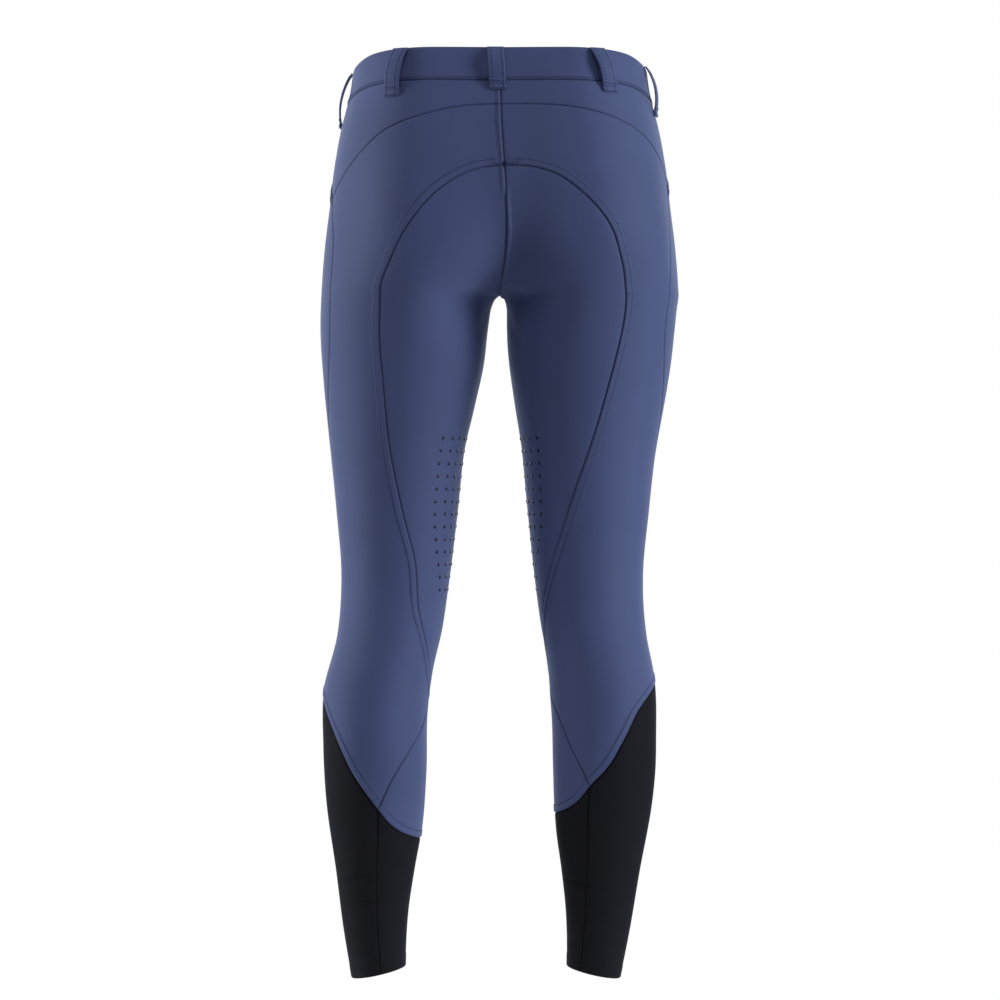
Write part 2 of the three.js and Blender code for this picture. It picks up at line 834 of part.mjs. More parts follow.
// A place and its outward direction at a share of the way round from the middle back, and a
// distance to one side of it
function fromMiddleBack(share, offset, z) {
  const distance = share * ring(z).length + offset;
  const a = -ring(z).backGap - Math.abs(distance);
  const point = surfacePoint(a, z);
  const direction = outward({ a, z }, { a: a - PROBE, z: z - PROBE });
  if (distance < 0) {
    point.x *= -1;
    direction.x *= -1;
  }
  return { point, direction };
}

// Belt loops: flat strips sewn at the band's top edge and under the band, standing off between
for (const [name, side, fromBack, lean, drop] of beltLoops.rows) {
  const share = fromBack / ring(0).length;
  const edge = bandEdge(1 - share);
  const topZ = edge.z + BAND_HEIGHT - LOOP.below;
  const footZ = edge.z - drop;
  const face = (thick) => Array.from({ length: STEPS.loopLong + 1 }, (_, j) => {
    const t = j / STEPS.loopLong;
    const arch = smoothStep(0.03, 0.3, t) * (1 - smoothStep(0.66, 0.9, t));
    const lift = BAND_PROUD + LOOP.seat + LOOP.clear * arch + thick;
    const z = topZ + (footZ - topZ) * t;
    return Array.from({ length: STEPS.loopWide + 1 }, (_unused, i) => {
      const across = LOOP.width * (0.5 - i / STEPS.loopWide);
      const { direction } = fromMiddleBack(share, lean * t, z);
      const { point } = fromMiddleBack(share, lean * t + across, z);
      return hang(point.addScaledVector(direction, lift), side);
    });
  });
  addPiece(name, wall(face(LOOP.cloth), face(0), side === "right"), MAIN);
}

// Waist button, a dished metal disc on the wearer's right end of the waistband
{
  const { radius, rim, high, dish, besideMiddle, seat } = BUTTON;
  const outline = [
    [0, 0], [radius, 0], [radius, high * 0.7], [radius * 0.93, high],
    [rim, high], [rim * 0.9, high - dish], [0, high - dish],
  ].map(([r, h]) => new THREE.Vector2(r, h));
  const lathe = new THREE.LatheGeometry(outline, STEPS.button);
  const z = bandEdge(0).z + BAND_HEIGHT / 2;
  const place = acrossFront(besideMiddle, z);
  const direction = outward(place, { a: place.a + PROBE, z: z - PROBE });
  const point = surfacePoint(place.a, place.z).addScaledVector(direction, BAND_PROUD + seat);
  direction.x *= -1;
  point.x *= -1;
  const turn = new THREE.Quaternion().setFromUnitVectors(new THREE.Vector3(0, 1, 0), direction);
  lathe.applyQuaternion(turn).translate(point.x, point.y, point.z);
  addPiece("waist_button",
    closedGeometry([...lathe.attributes.position.array], [...lathe.index.array], false), METAL);
}

export default garment;
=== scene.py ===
# %% [markdown]
# # Riding breeches
# A pair of close riding breeches seen from behind, standing as if worn, with nobody in them.
# The real garment is cut from a smooth stretch cloth in shaped panels, with a waistband, belt
# loops, slanted front pockets and dark stretch cuffs that reach under the boots.
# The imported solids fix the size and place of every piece. This script lays a finer cloth on
# the same shape, piece by piece, and adds what the solids leave out: rolled seam edges,
# topstitching, the raised silicone grip at the knees, creases and the cloth's own surface.

# %% Load the fixed frame
import math

import bpy
import numpy as np
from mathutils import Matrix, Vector


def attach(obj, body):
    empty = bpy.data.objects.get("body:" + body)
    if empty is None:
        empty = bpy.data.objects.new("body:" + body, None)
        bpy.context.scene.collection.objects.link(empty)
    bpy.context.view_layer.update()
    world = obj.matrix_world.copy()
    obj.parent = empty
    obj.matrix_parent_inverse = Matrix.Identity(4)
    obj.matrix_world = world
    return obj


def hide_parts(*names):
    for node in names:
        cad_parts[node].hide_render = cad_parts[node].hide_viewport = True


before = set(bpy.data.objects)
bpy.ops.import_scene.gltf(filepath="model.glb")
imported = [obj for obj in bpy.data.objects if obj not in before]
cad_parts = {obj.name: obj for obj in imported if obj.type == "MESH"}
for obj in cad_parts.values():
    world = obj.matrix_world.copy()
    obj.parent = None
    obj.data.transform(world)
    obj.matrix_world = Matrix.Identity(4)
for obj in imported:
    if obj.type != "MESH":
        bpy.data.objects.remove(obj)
bpy.context.view_layer.update()
MM = 0.001

# %% [markdown]
# ## Camera, floor and light
# The photograph looks straight at the back of the garment from a few metres off, level with
# the thighs, against pure white. A long lens from the same distance gives the same outline.
# The garment hangs above a small pale floor, which lies below the picture. The white behind it
# comes from the world, which shows as white but lights the cloth only a little, so that two
# large soft lamps at the sides shape the legs as they do in the photograph.

# %% Camera and floor
CAMERA_DISTANCE = 3.5
CAMERA_HEIGHT = -0.420
LENS = 36 * CAMERA_DISTANCE / 1.030

camera_data = bpy.data.cameras.new("camera")
camera_data.lens = LENS
camera_data.sensor_width = 36
camera_data.clip_end = 200
camera = bpy.data.objects.new("camera", camera_data)
camera.location = (0, CAMERA_DISTANCE, CAMERA_HEIGHT)
camera.rotation_euler = (math.radians(90), 0, math.radians(180))
bpy.context.scene.collection.objects.link(camera)
bpy.context.scene.camera = camera
bpy.context.scene.view_settings.view_transform = "Standard"


def linear(hex_colour):
    """An sRGB hex colour as linear red, green, blue and full opacity."""
    channels = [int(hex_colour[i:i + 2], 16) / 255 for i in (1, 3, 5)]
    return [c / 12.92 if c <= 0.04045 else ((c + 0.055) / 1.055) ** 2.4 for c in channels] + [1.0]


def add_node(tree, kind, settings=None, **inputs):
    """A node of this kind, with its settings, and each input a value or another node's socket."""
    node = tree.nodes.new(kind)
    for name, value in (settings or {}).items():
        setattr(node, name, value)
    for name, value in inputs.items():
        socket = node.inputs[int(name[1:])] if name[1:].isdigit() else node.inputs[name.replace("_", " ")]
        if isinstance(value, bpy.types.NodeSocket):
            tree.links.new(value, socket)
        else:
            socket.default_value = value
    return node


def new_material(name):
    """An empty node material and its output node."""
    material = bpy.data.materials.new(name)
    material.use_nodes = True
    material.node_tree.nodes.clear()
    return material, material.node_tree


FLOOR_HEIGHT = -1.05
FLOOR_RADIUS = 0.72
floor_mesh = bpy.data.meshes.new("floor")
rim = [(FLOOR_RADIUS * math.cos(2 * math.pi * k / 96), FLOOR_RADIUS * math.sin(2 * math.pi * k / 96),
        FLOOR_HEIGHT) for k in range(96)]
floor_mesh.from_pydata(rim, [], [list(range(96))])
floor = bpy.data.objects.new("floor", floor_mesh)
bpy.context.scene.collection.objects.link(floor)
# Painted board: matt, pale and slightly warm
floor_paint, tree = new_material("painted_board")
board_grain = add_node(tree, "ShaderNodeTexNoise", Scale=60, Detail=3)
board_bump = add_node(tree, "ShaderNodeBump", Strength=0.05, Height=board_grain.outputs["Fac"])
board = add_node(tree, "ShaderNodeBsdfPrincipled", Base_Color=linear("#ECEBE8"), Roughness=0.8,
                 Normal=board_bump.outputs["Normal"])
add_node(tree, "ShaderNodeOutputMaterial", Surface=board.outputs["BSDF"])
floor_mesh.materials.append(floor_paint)

# %% World and lamps
world = bpy.data.worlds.new("studio")
bpy.context.scene.world = world
world.use_nodes = True
tree = world.node_tree
tree.nodes.clear()
WORLD_GLOW = 0.17
seen = add_node(tree, "ShaderNodeLightPath")
white = add_node(tree, "ShaderNodeBackground", Color=(1, 1, 1, 1), Strength=1.0)
glow = add_node(tree, "ShaderNodeBackground", Color=linear("#F2F5FF"), Strength=WORLD_GLOW)
mixed = add_node(tree, "ShaderNodeMixShader", _0=seen.outputs["Is Camera Ray"],
                 _1=glow.outputs["Background"], _2=white.outputs["Background"])
add_node(tree, "ShaderNodeOutputWorld", Surface=mixed.outputs["Shader"])


def soft_lamp(name, place, target, width, height, watts, colour="#FFFFFF"):
    """A rectangular soft lamp at a place, turned towards a target."""
    data = bpy.data.lights.new(name, "AREA")
    data.shape = "RECTANGLE"
    data.size = width
    data.size_y = height
    data.energy = watts
    data.color = linear(colour)[:3]
    lamp = bpy.data.objects.new(name, data)
    lamp.location = place
    lamp.rotation_euler = (Vector(target) - Vector(place)).to_track_quat("-Z", "Y").to_euler()
    bpy.context.scene.collection.objects.link(lamp)
    return lamp


LAMPS = [
    # name, place, target, width, height, watts, colour
    ("lamp_right", (-2.3, 0.95, 0.05), (0, 0, -0.4), 0.8, 2.2, 52, "#FFFFFF"),
    ("lamp_left", (2.5, -0.1, 0.05), (0, 0, -0.4), 1.2, 2.2, 48, "#FFFFFF"),
    ("lamp_above", (0.2, 1.6, 2.0), (0, 0, -0.2), 1.6, 1.2, 14, "#FFFFFF"),
    ("lamp_front", (0.0, -2.4, 0.3), (0, 0, -0.4), 3.6, 2.0, 66, "#FFFFFF"),
]
for lamp in LAMPS:
    soft_lamp(*lamp)
print("lamps", [lamp[0] for lamp in LAMPS])

# %% [markdown]
# ## The shape of the garment, in tables
# A body in stretch cloth has no plain geometric rule, but it is smooth, so a few named
# measurements per height describe it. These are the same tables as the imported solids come
# from. Each level ring is four curves through its front, outer and back points, and every seam
# is a line on that surface, given by distance out from the middle and height, in millimetres.

# %% Body tables
CLOTH = 1.5
CUFF_CLOTH = 1.2
BAND_CLOTH = 2.2
BAND_PROUD = 0.4
CUFF_SUNK = 0.4
SEAM_GAP = 0.3
BAND_HEIGHT = 33.5
CROTCH_Z = -211
CROTCH_Y = 8

rings = {
    "columns": ["z", "xFront", "yFront", "xOut", "yOut", "xBack", "yBack"],
    "rows": [
        [36, 60, -97, 149, 2, 66, 101],
        [0, 60, -104, 153.5, 0, 70, 108],
        [-40, 62, -109, 163.5, 0, 74, 116],
        [-80, 64, -111, 170.5, 2, 78, 124],
        [-120, 68, -111, 175, 3, 82, 128],
        [-160, 74, -108, 180, 2, 85, 127],
        [-200, 82, -103, 183.3, 0, 88, 118],
        [-245, 91, -97, 185, -4, 93, 101],
        [-300, 97, -92, 181.8, -8, 98, 84],
        [-360, 101, -86, 176, -11, 103, 71],
        [-430, 104, -79, 169, -11, 106, 60],
        [-500, 106, -73, 163.8, -9, 108, 53],
        [-560, 113, -66, 167.8, 0, 114, 60],
        [-615, 126, -55, 181.2, 8, 127, 69],
        [-670, 128, -48, 181.8, 12, 129, 70],
        [-730, 127, -43, 178.5, 12, 128, 62],
        [-800, 128, -40, 169, 6, 129, 45],
        [-860, 129, -37, 161.5, 3, 129, 38],
        [-915, 125, -38, 152.5, 0, 125, 36],
    ],
}
middle_seam = {
    "columns": ["z", "yFront", "yBack", "reach"],
    "rows": [
        [36, -96, 100, 30], [0, -103.5, 106, 32], [-40, -108, 113, 34], [-80, -109, 119.5, 34],
        [-120, -105, 121, 32], [-150, -93, 114, 26], [-175, -74, 99, 18], [-190, -55, 82, 12],
        [-200, -37, 64, 8], [-207, -18, 43, 5], [-211, 8, 8, 4],
    ],
}
inner_leg = {
    "columns": ["z", "x", "y", "reach"],
    "rows": [
        [-211, 0, 8, 4], [-224, 9, 6, 22], [-245, 12.4, 3, 38], [-286, 17.5, 0, 46],
        [-327, 26.8, -4, 45], [-369, 36.5, -7, 42], [-430, 43.3, -9, 38], [-513, 53.6, -9, 35],
        [-554, 59.7, -5, 35], [-595, 69, 2, 33], [-636, 74.2, 8, 32], [-700, 75.5, 11, 31],
        [-760, 80.3, 9, 26], [-801, 87.6, 5, 23], [-842, 93.7, 2, 21], [-898, 96.8, 0, 20],
        [-915, 97, 0, 20],
    ],
}
# How much nearer the middle the right leg hangs, and how far the middle back seam bows over
right_leg_sway = {
    "columns": ["z", "inward"],
    "rows": [
        [-211, 0], [-224, 2.5], [-245, 5], [-286, 7.5], [-327, 10.8], [-369, 14], [-430, 15],
        [-513, 16.3], [-574, 17.3], [-616, 21], [-700, 21], [-760, 23], [-842, 26.5], [-915, 29],
    ],
}
seat_bow = {
    "columns": ["z", "x"],
    "rows": [[-15, 0], [-50, 1.5], [-86, 4], [-121, 6], [-160, 6.5], [-190, 3.5], [-208, 0]],
}
BOW_FROM, BOW_TO = 30, 105

# %% Seam tables
band_drop = {
    "columns": ["y", "z"],
    "rows": [[108, 0], [88, -1.5], [70, -3.5], [48, -7.7], [15, -12.8], [-20, -19], [-60, -28],
             [-104, -36]],
}
SIDES = ("left", "right")
yoke_seam = {
    "left": [[0, -25], [30, -26], [60, -31], [90, -39.5], [118, -51], [138, -66], [152, -80.5],
             [162, -95]],
    "right": [[0, -25], [30, -25], [60, -26.5], [90, -31], [118, -39], [140, -50], [156, -66],
              [166, -83]],
}
arch_seam = {
    "left": [[0, -87], [26, -90], [52, -101], [74, -117], [93, -138], [107, -161], [117, -190],
             [120, -226], [120, -278], [115, -340], [101, -424], [87, -481], [80, -545]],
    "right": [[0, -87], [26, -88], [52, -96], [74, -112], [93, -132], [106, -153], [117, -183],
              [127, -216], [123, -278], [111, -340], [88, -420], [69, -485], [60, -540]],
}
calf_seam = {
    "left": [[79, -651], [91, -673], [109, -702], [124, -733]],
    "right": [[82, -642], [93, -670], [105, -694], [112, -709]],
}
hem_over_back = {
    "left": [[124, -733], [148, -698], [168, -657], [177, -635], [181, -622]],
    "right": [[112, -709], [130, -689], [147, -661], [163, -631], [177, -612]],
}
hem_inner = {"left": [[110, -750], [95, -760]], "right": [[100, -725], [87, -735]]}
hem_over_front = {
    "left": [[88, -761], [105, -745], [123, -720], [144, -682], [162, -642]],
    "right": [[84, -735], [98, -722], [114, -703], [136, -670], [155, -631]],
}
# Places on the inner leg and side are distances round the leg, with height
calf_point = {"left": (0, -622), "right": (14, -600)}
front_inner_seam = [[52, -215], [46, -240], [44, -275], [45, -330], [46, -400], [44, -470],
                    [37, -530], [25, -576]]
side_seam = {
    "columns": ["z", "behind"],
    "rows": [[-15, -6], [-60, 8], [-110, 32], [-155, 54], [-233, 56], [-267, 49], [-320, 28],
             [-379, 3], [-440, -16], [-500, -26], [-560, -32], [-610, -34]],
}
FRONT_JOINT_Z = -190
SIDE_JOINT_Z = {"left": -113, "right": -104}
POCKET_TOP_X = 92
HEM_LOWEST_Z = {"left": -766, "right": -740}
HEM_HIGHEST_Z = {"left": -610, "right": -598}
ANKLE_OUTER_Z, ANKLE_INNER_Z = -911, -899
CUFF_SEAM_X = {"left": 122, "right": 110}


# %% Reading a table smoothly
def track(table, column, at, key=lambda value: value):
    """The smooth value of a table's column at places in its first column."""
    rows = np.array(table["rows"], float)
    x = key(rows[:, 0])
    y = rows[:, table["columns"].index(column)]
    if x[0] > x[-1]:
        x, y = x[::-1], y[::-1]
    gap = np.diff(x)
    rise = np.diff(y) / gap
    slope = np.concatenate([rise[:1], (rise[:-1] * gap[1:] + rise[1:] * gap[:-1]) / (gap[:-1] + gap[1:]),
                            rise[-1:]])
    t = key(np.asarray(at, float))
    i = np.clip(np.searchsorted(x, t) - 1, 0, len(gap) - 1)
    s = (t - x[i]) / gap[i]
    return (y[i] * (2 * s**3 - 3 * s**2 + 1) + slope[i] * gap[i] * (s**3 - 2 * s**2 + s)
            + y[i + 1] * (3 * s**2 - 2 * s**3) + slope[i + 1] * gap[i] * (s**3 - s**2))


def track_held(table, column, at):
    """The same, held level beyond the ends of the table."""
    ends = [table["rows"][0][0], table["rows"][-1][0]]
    return track(table, column, np.clip(at, min(ends), max(ends)))


def from_crotch(z):
    """Seams curve level at the crotch, so they are read against the root of the distance from it."""
    z = np.asarray(z, float)
    return np.sign(z - CROTCH_Z) * np.sqrt(np.abs(z - CROTCH_Z))


def smooth_step(start, end, value):
    t = np.clip((value - start) / (end - start), 0, 1)
    return t * t * (3 - 2 * t)


# %% [markdown]
# ## From a place on the cloth to a point in space
# A place on one half of the garment is a pair: the distance round the leg from its innermost
# line, forwards as positive, and the height. Above the crotch the distance also counts the way
# to the middle seam, which lays the cloth open as on a cutting table. One function turns
# whole arrays of places into points, so that a panel can be as fine as it needs to be.

# %% Rings and places
RING_STEPS = 28
FULLNESS = 0.56


def ring_controls(z):
    """The four curves of each ring, their control points, and the gaps in front and behind."""
    above = z > CROTCH_Z
    high, low = np.maximum(z, CROTCH_Z), np.minimum(z, CROTCH_Z)
    pick = lambda top, bottom, column_top, column_bottom: np.where(
        above, track(top, column_top, high, from_crotch), track(bottom, column_bottom, low, from_crotch))
    zero = np.zeros_like(z)
    reach = pick(middle_seam, inner_leg, "reach", "reach")
    end_x = np.where(above, 0, track(inner_leg, "x", low, from_crotch))
    front_y = pick(middle_seam, inner_leg, "yFront", "y")
    back_y = pick(middle_seam, inner_leg, "yBack", "y")
    size = {name: track(rings, name, z) for name in rings["columns"][1:]}
    k = FULLNESS
    pair = lambda x, y: np.stack([x, y], -1)
    front_end, back_end = pair(end_x, front_y), pair(end_x, back_y)
    front_handle = np.where(above[:, None], pair(reach, zero), pair(zero, -reach))
    back_handle = np.where(above[:, None], pair(reach, zero), pair(zero, reach))
    front = pair(size["xFront"], size["yFront"])
    outer = pair(size["xOut"], size["yOut"])
    back = pair(size["xBack"], size["yBack"])
    curves = np.stack([
        np.stack([front_end, front_end + front_handle,
                  pair(front[:, 0] - k * (front[:, 0] - end_x), front[:, 1]), front], 1),
        np.stack([front, pair(front[:, 0] + k * (outer[:, 0] - front[:, 0]), front[:, 1]),
                  pair(outer[:, 0], outer[:, 1] - k * (outer[:, 1] - front[:, 1])), outer], 1),
        np.stack([outer, pair(outer[:, 0], outer[:, 1] + k * (back[:, 1] - outer[:, 1])),
                  pair(back[:, 0] + k * (outer[:, 0] - back[:, 0]), back[:, 1]), back], 1),
        np.stack([back, pair(back[:, 0] - k * (back[:, 0] - end_x), back[:, 1]),
                  back_end + back_handle, back_end], 1),
    ], 1)
    return curves, np.where(above, CROTCH_Y - front_y, 0), np.where(above, back_y - CROTCH_Y, 0)


def bezier_weights(t):
    u = 1 - t
    return np.stack([u**3, 3 * u * u * t, 3 * u * t * t, t**3], -1)


def rings_at(z):
    """Points round each ring, the distance along it, and its curves and gaps."""
    z = np.atleast_1d(np.asarray(z, float))
    curves, front_gap, back_gap = ring_controls(z)
    steps = bezier_weights(np.arange(1, RING_STEPS + 1) / RING_STEPS)
    points = np.einsum("tw,ncwd->nctd", steps, curves).reshape(len(z), -1, 2)
    points = np.concatenate([curves[:, 0, :1], points], 1)
    along = np.concatenate([np.zeros((len(z), 1)),
                            np.cumsum(np.linalg.norm(np.diff(points, axis=1), axis=2), 1)], 1)
    return points, along, curves, front_gap, back_gap


def on_ring(z, distance):
    """Points at a distance round from the front end of the rings at heights z."""
    z, distance = np.asarray(z, float), np.asarray(distance, float)
    out = np.empty(z.shape + (2,))
    flat_z, flat_d, flat_out = z.ravel(), distance.ravel(), out.reshape(-1, 2)
    for start in range(0, len(flat_z), 6000):
        part = slice(start, start + 6000)
        _, along, curves, _, _ = rings_at(flat_z[part])
        length = along[:, -1]
        open_ring = flat_z[part] > CROTCH_Z
        s = np.where(open_ring, np.clip(flat_d[part], 0, length), np.mod(flat_d[part], length))
        k = (along[:, 1:-1] <= s[:, None]).sum(1)
        row = np.arange(len(s))
        f = (s - along[row, k]) / np.maximum(along[row, k + 1] - along[row, k], 1e-9)
        u = (k + f) / RING_STEPS
        c = np.minimum(u.astype(int), 3)
        flat_out[part] = np.einsum("nw,nwd->nd", bezier_weights(u - c), curves[row, c])
    return out


def measured_surface(a, z):
    """Points of the half garment at measured distances a and heights z."""
    a, z = np.broadcast_arrays(np.asarray(a, float), np.asarray(z, float))
    shape, a, z = a.shape, a.ravel(), z.ravel()
    length, front_gap, back_gap = girths(z)
    distance = np.where(z > CROTCH_Z, np.where(a >= 0, a - front_gap, a + back_gap + length), a)
    xy = on_ring(z, distance)
    return np.concatenate([xy, z[:, None]], 1).reshape(shape + (3,))


def girths(z):
    """Each ring's length and the gaps at its ends, read from a fine table of heights."""
    return [np.interp(-np.asarray(z, float), -TABLE_Z, column) for column in GIRTH_COLUMNS]


TABLE_Z = np.concatenate([
    np.arange(40, CROTCH_Z + 4, -0.5), CROTCH_Z + 4 * np.linspace(1, 0, 160)**2 + 1e-6,
    CROTCH_Z - 4 * np.linspace(0, 1, 160)**2, np.arange(CROTCH_Z - 4.5, -930, -0.5)])
_, along, _, front_gaps, back_gaps = rings_at(TABLE_Z)
GIRTH_COLUMNS = [along[:, -1], front_gaps, back_gaps]
print("girth at the hips", round(2 * float(girths(-160)[0]), 1), "mm")

# %% [markdown]
# Measured distances change suddenly at the height of the crotch, where the two legs part. A
# seam drawn through them would kink there, so panels are laid out in even distances: the
# sudden part is taken up within a hand's breadth of the crotch, and nothing else moves.

# %% Even distances
SMOOTHING, TAKE_UP = 22, 100


def smoothed(column):
    """A column of the fine table as a function of height, with its sudden changes ironed out."""
    level = np.arange(40, -930, -1.0)
    values = np.interp(-level, -TABLE_Z, column)
    kernel = np.exp(-0.5 * (np.arange(-3 * SMOOTHING, 3 * SMOOTHING + 1) / SMOOTHING)**2)
    padded = np.pad(values, 3 * SMOOTHING, mode="reflect", reflect_type="odd")
    return level, np.convolve(padded, kernel / kernel.sum(), "valid")


FRONT_RUN = along[:, 2 * RING_STEPS] + front_gaps
BACK_RUN = along[:, -1] - along[:, 2 * RING_STEPS] + back_gaps
EVEN_FRONT, EVEN_BACK = smoothed(FRONT_RUN), smoothed(BACK_RUN)


def sudden_change(a, z):
    """How far a measured place moves when the sudden change is ironed out."""
    z = np.asarray(z, float)
    front, back = [np.interp(-z, -TABLE_Z, column) for column in (FRONT_RUN, BACK_RUN)]
    front_change, back_change = [np.interp(-z, -level, values) - run for (level, values), run in
                                 ((EVEN_FRONT, front), (EVEN_BACK, back))]
    far, whole = np.abs(a), front + back
    near, opposite = smooth_step(0, TAKE_UP, far), smooth_step(whole - TAKE_UP, whole, far)
    return np.where(a < 0, -back_change * near - front_change * opposite,
                    front_change * near + back_change * opposite)


def even_place(a, z):
    """A measured place as an even one."""
    return a + sudden_change(np.asarray(a, float), z)


def surface(a, z):
    """Points of the half garment at even places a, z."""
    a = np.asarray(a, float)
    measured = a
    for _ in range(5):
        measured = a - sudden_change(measured, z)
    return measured_surface(measured, z)


def even_girth(z):
    return sum(np.interp(-np.asarray(z, float), -level, values)
               for level, values in (EVEN_FRONT, EVEN_BACK))


# %% Places from measurements
def round_back(places):
    """The same places, counted round the back instead of round the front."""
    places = np.atleast_2d(np.asarray(places, float))
    return np.stack([places[:, 0] - even_girth(places[:, 1]), places[:, 1]], 1)


def across_back(x, z):
    """The place at a distance x out from the middle, on the back."""
    points, along, _, _, back_gap = (v[0] for v in rings_at(z))
    i = len(points) - 1
    while i > 2 * RING_STEPS and points[i - 1, 0] < x:
        i -= 1
    f = np.clip((x - points[i, 0]) / ((points[i - 1, 0] - points[i, 0]) or 1), 0, 1)
    return (float(even_place(along[i] + f * (along[i - 1] - along[i]) - along[-1] - back_gap, z)), z)


def across_front(x, z):
    """The place at a distance x out from the middle, on the front."""
    points, along, _, front_gap, _ = (v[0] for v in rings_at(z))
    i = 0
    while i < 2 * RING_STEPS and points[i + 1, 0] < x:
        i += 1
    f = np.clip((x - points[i, 0]) / ((points[i + 1, 0] - points[i, 0]) or 1), 0, 1)
    return (float(even_place(along[i] + f * (along[i + 1] - along[i]) + front_gap, z)), z)


def behind_outer(behind, z):
    """The place at a distance behind the outermost line."""
    _, along, _, front_gap, _ = (v[0] for v in rings_at(z))
    return (float(even_place(along[2 * RING_STEPS] + behind + front_gap, z)), z)


def smooth_line(places, steps):
    """A smooth line through places, cut into an even number of steps."""
    p = np.array(places, float)
    p = np.concatenate([2 * p[:1] - p[1:2], p, 2 * p[-1:] - p[-2:-1]])
    last = len(p) - 3

    def at(t):
        t = np.clip(t, 0, 1) * last
        i = np.minimum(t.astype(int), last - 1)
        w = (t - i)[:, None]
        p0, p1, p2, p3 = p[i], p[i + 1], p[i + 2], p[i + 3]
        d0, d1, d2 = (np.sum((q - r)**2, 1)[:, None]**0.25 for q, r in ((p1, p0), (p2, p1), (p3, p2)))
        m1 = ((p1 - p0) / d0 - (p2 - p0) / (d0 + d1) + (p2 - p1) / d1) * d1
        m2 = ((p2 - p1) / d1 - (p3 - p1) / (d1 + d2) + (p3 - p2) / d2) * d1
        return (p1 * (2 * w**3 - 3 * w**2 + 1) + m1 * (w**3 - 2 * w**2 + w)
                + p2 * (3 * w**2 - 2 * w**3) + m2 * (w**3 - w**2))

    t = np.linspace(0, 1, 401)
    run = at(t)
    along = np.concatenate([[0], np.cumsum(np.linalg.norm(np.diff(run, axis=0), axis=1))])
    return at(np.interp(np.linspace(0, along[-1], steps + 1), along, t))


# %% [markdown]
# ## Seams
# Neighbouring panels are sewn along one line, so each seam is worked out once and both panels
# use it. Every seam is kept as a dense run of places, and the panels read it wherever their own
# rows and columns fall.

# %% Seam lines of one half
FINE = 16
STEPS = {"middle": 4, "arch": 14, "calf": 4, "yoke": 10, "yoke_side": 4, "band_front": 5,
         "band_pocket": 4, "seat": 5, "front": 3}


def along_band(share, z):
    """Places at a share of the way from the middle front to the middle back, at heights z."""
    length, front_gap, _ = girths(z)
    return np.stack([even_place(share * length + front_gap, z), z], -1)


def band_edge(share):
    """Places on the waistband's bottom edge, by share of the way round."""
    share = np.atleast_1d(np.asarray(share, float))
    z = np.full_like(share, -15)
    for _ in range(6):
        z = track(band_drop, "z", on_ring(z, share * girths(z)[0])[:, 1])
    return along_band(share, z)


def band_share(reached):
    """The share of the way round at which the band edge reaches a place."""
    shares = np.linspace(0, 1, 1201)
    return next(share for share, place in zip(shares, band_edge(shares)) if reached(*place))


def rise(column, start, end, steps):
    """Places along the middle seam between two heights."""
    f = np.linspace(from_crotch(start), from_crotch(end), steps * FINE + 1)
    z = CROTCH_Z + np.sign(f) * f * f
    away = np.abs(track(middle_seam, column, z, from_crotch) - CROTCH_Y)
    return np.stack([even_place(-away if column == "yBack" else away, z), z], 1)


def joined(*lines):
    return np.concatenate([lines[0]] + [line[1:] for line in lines[1:]])


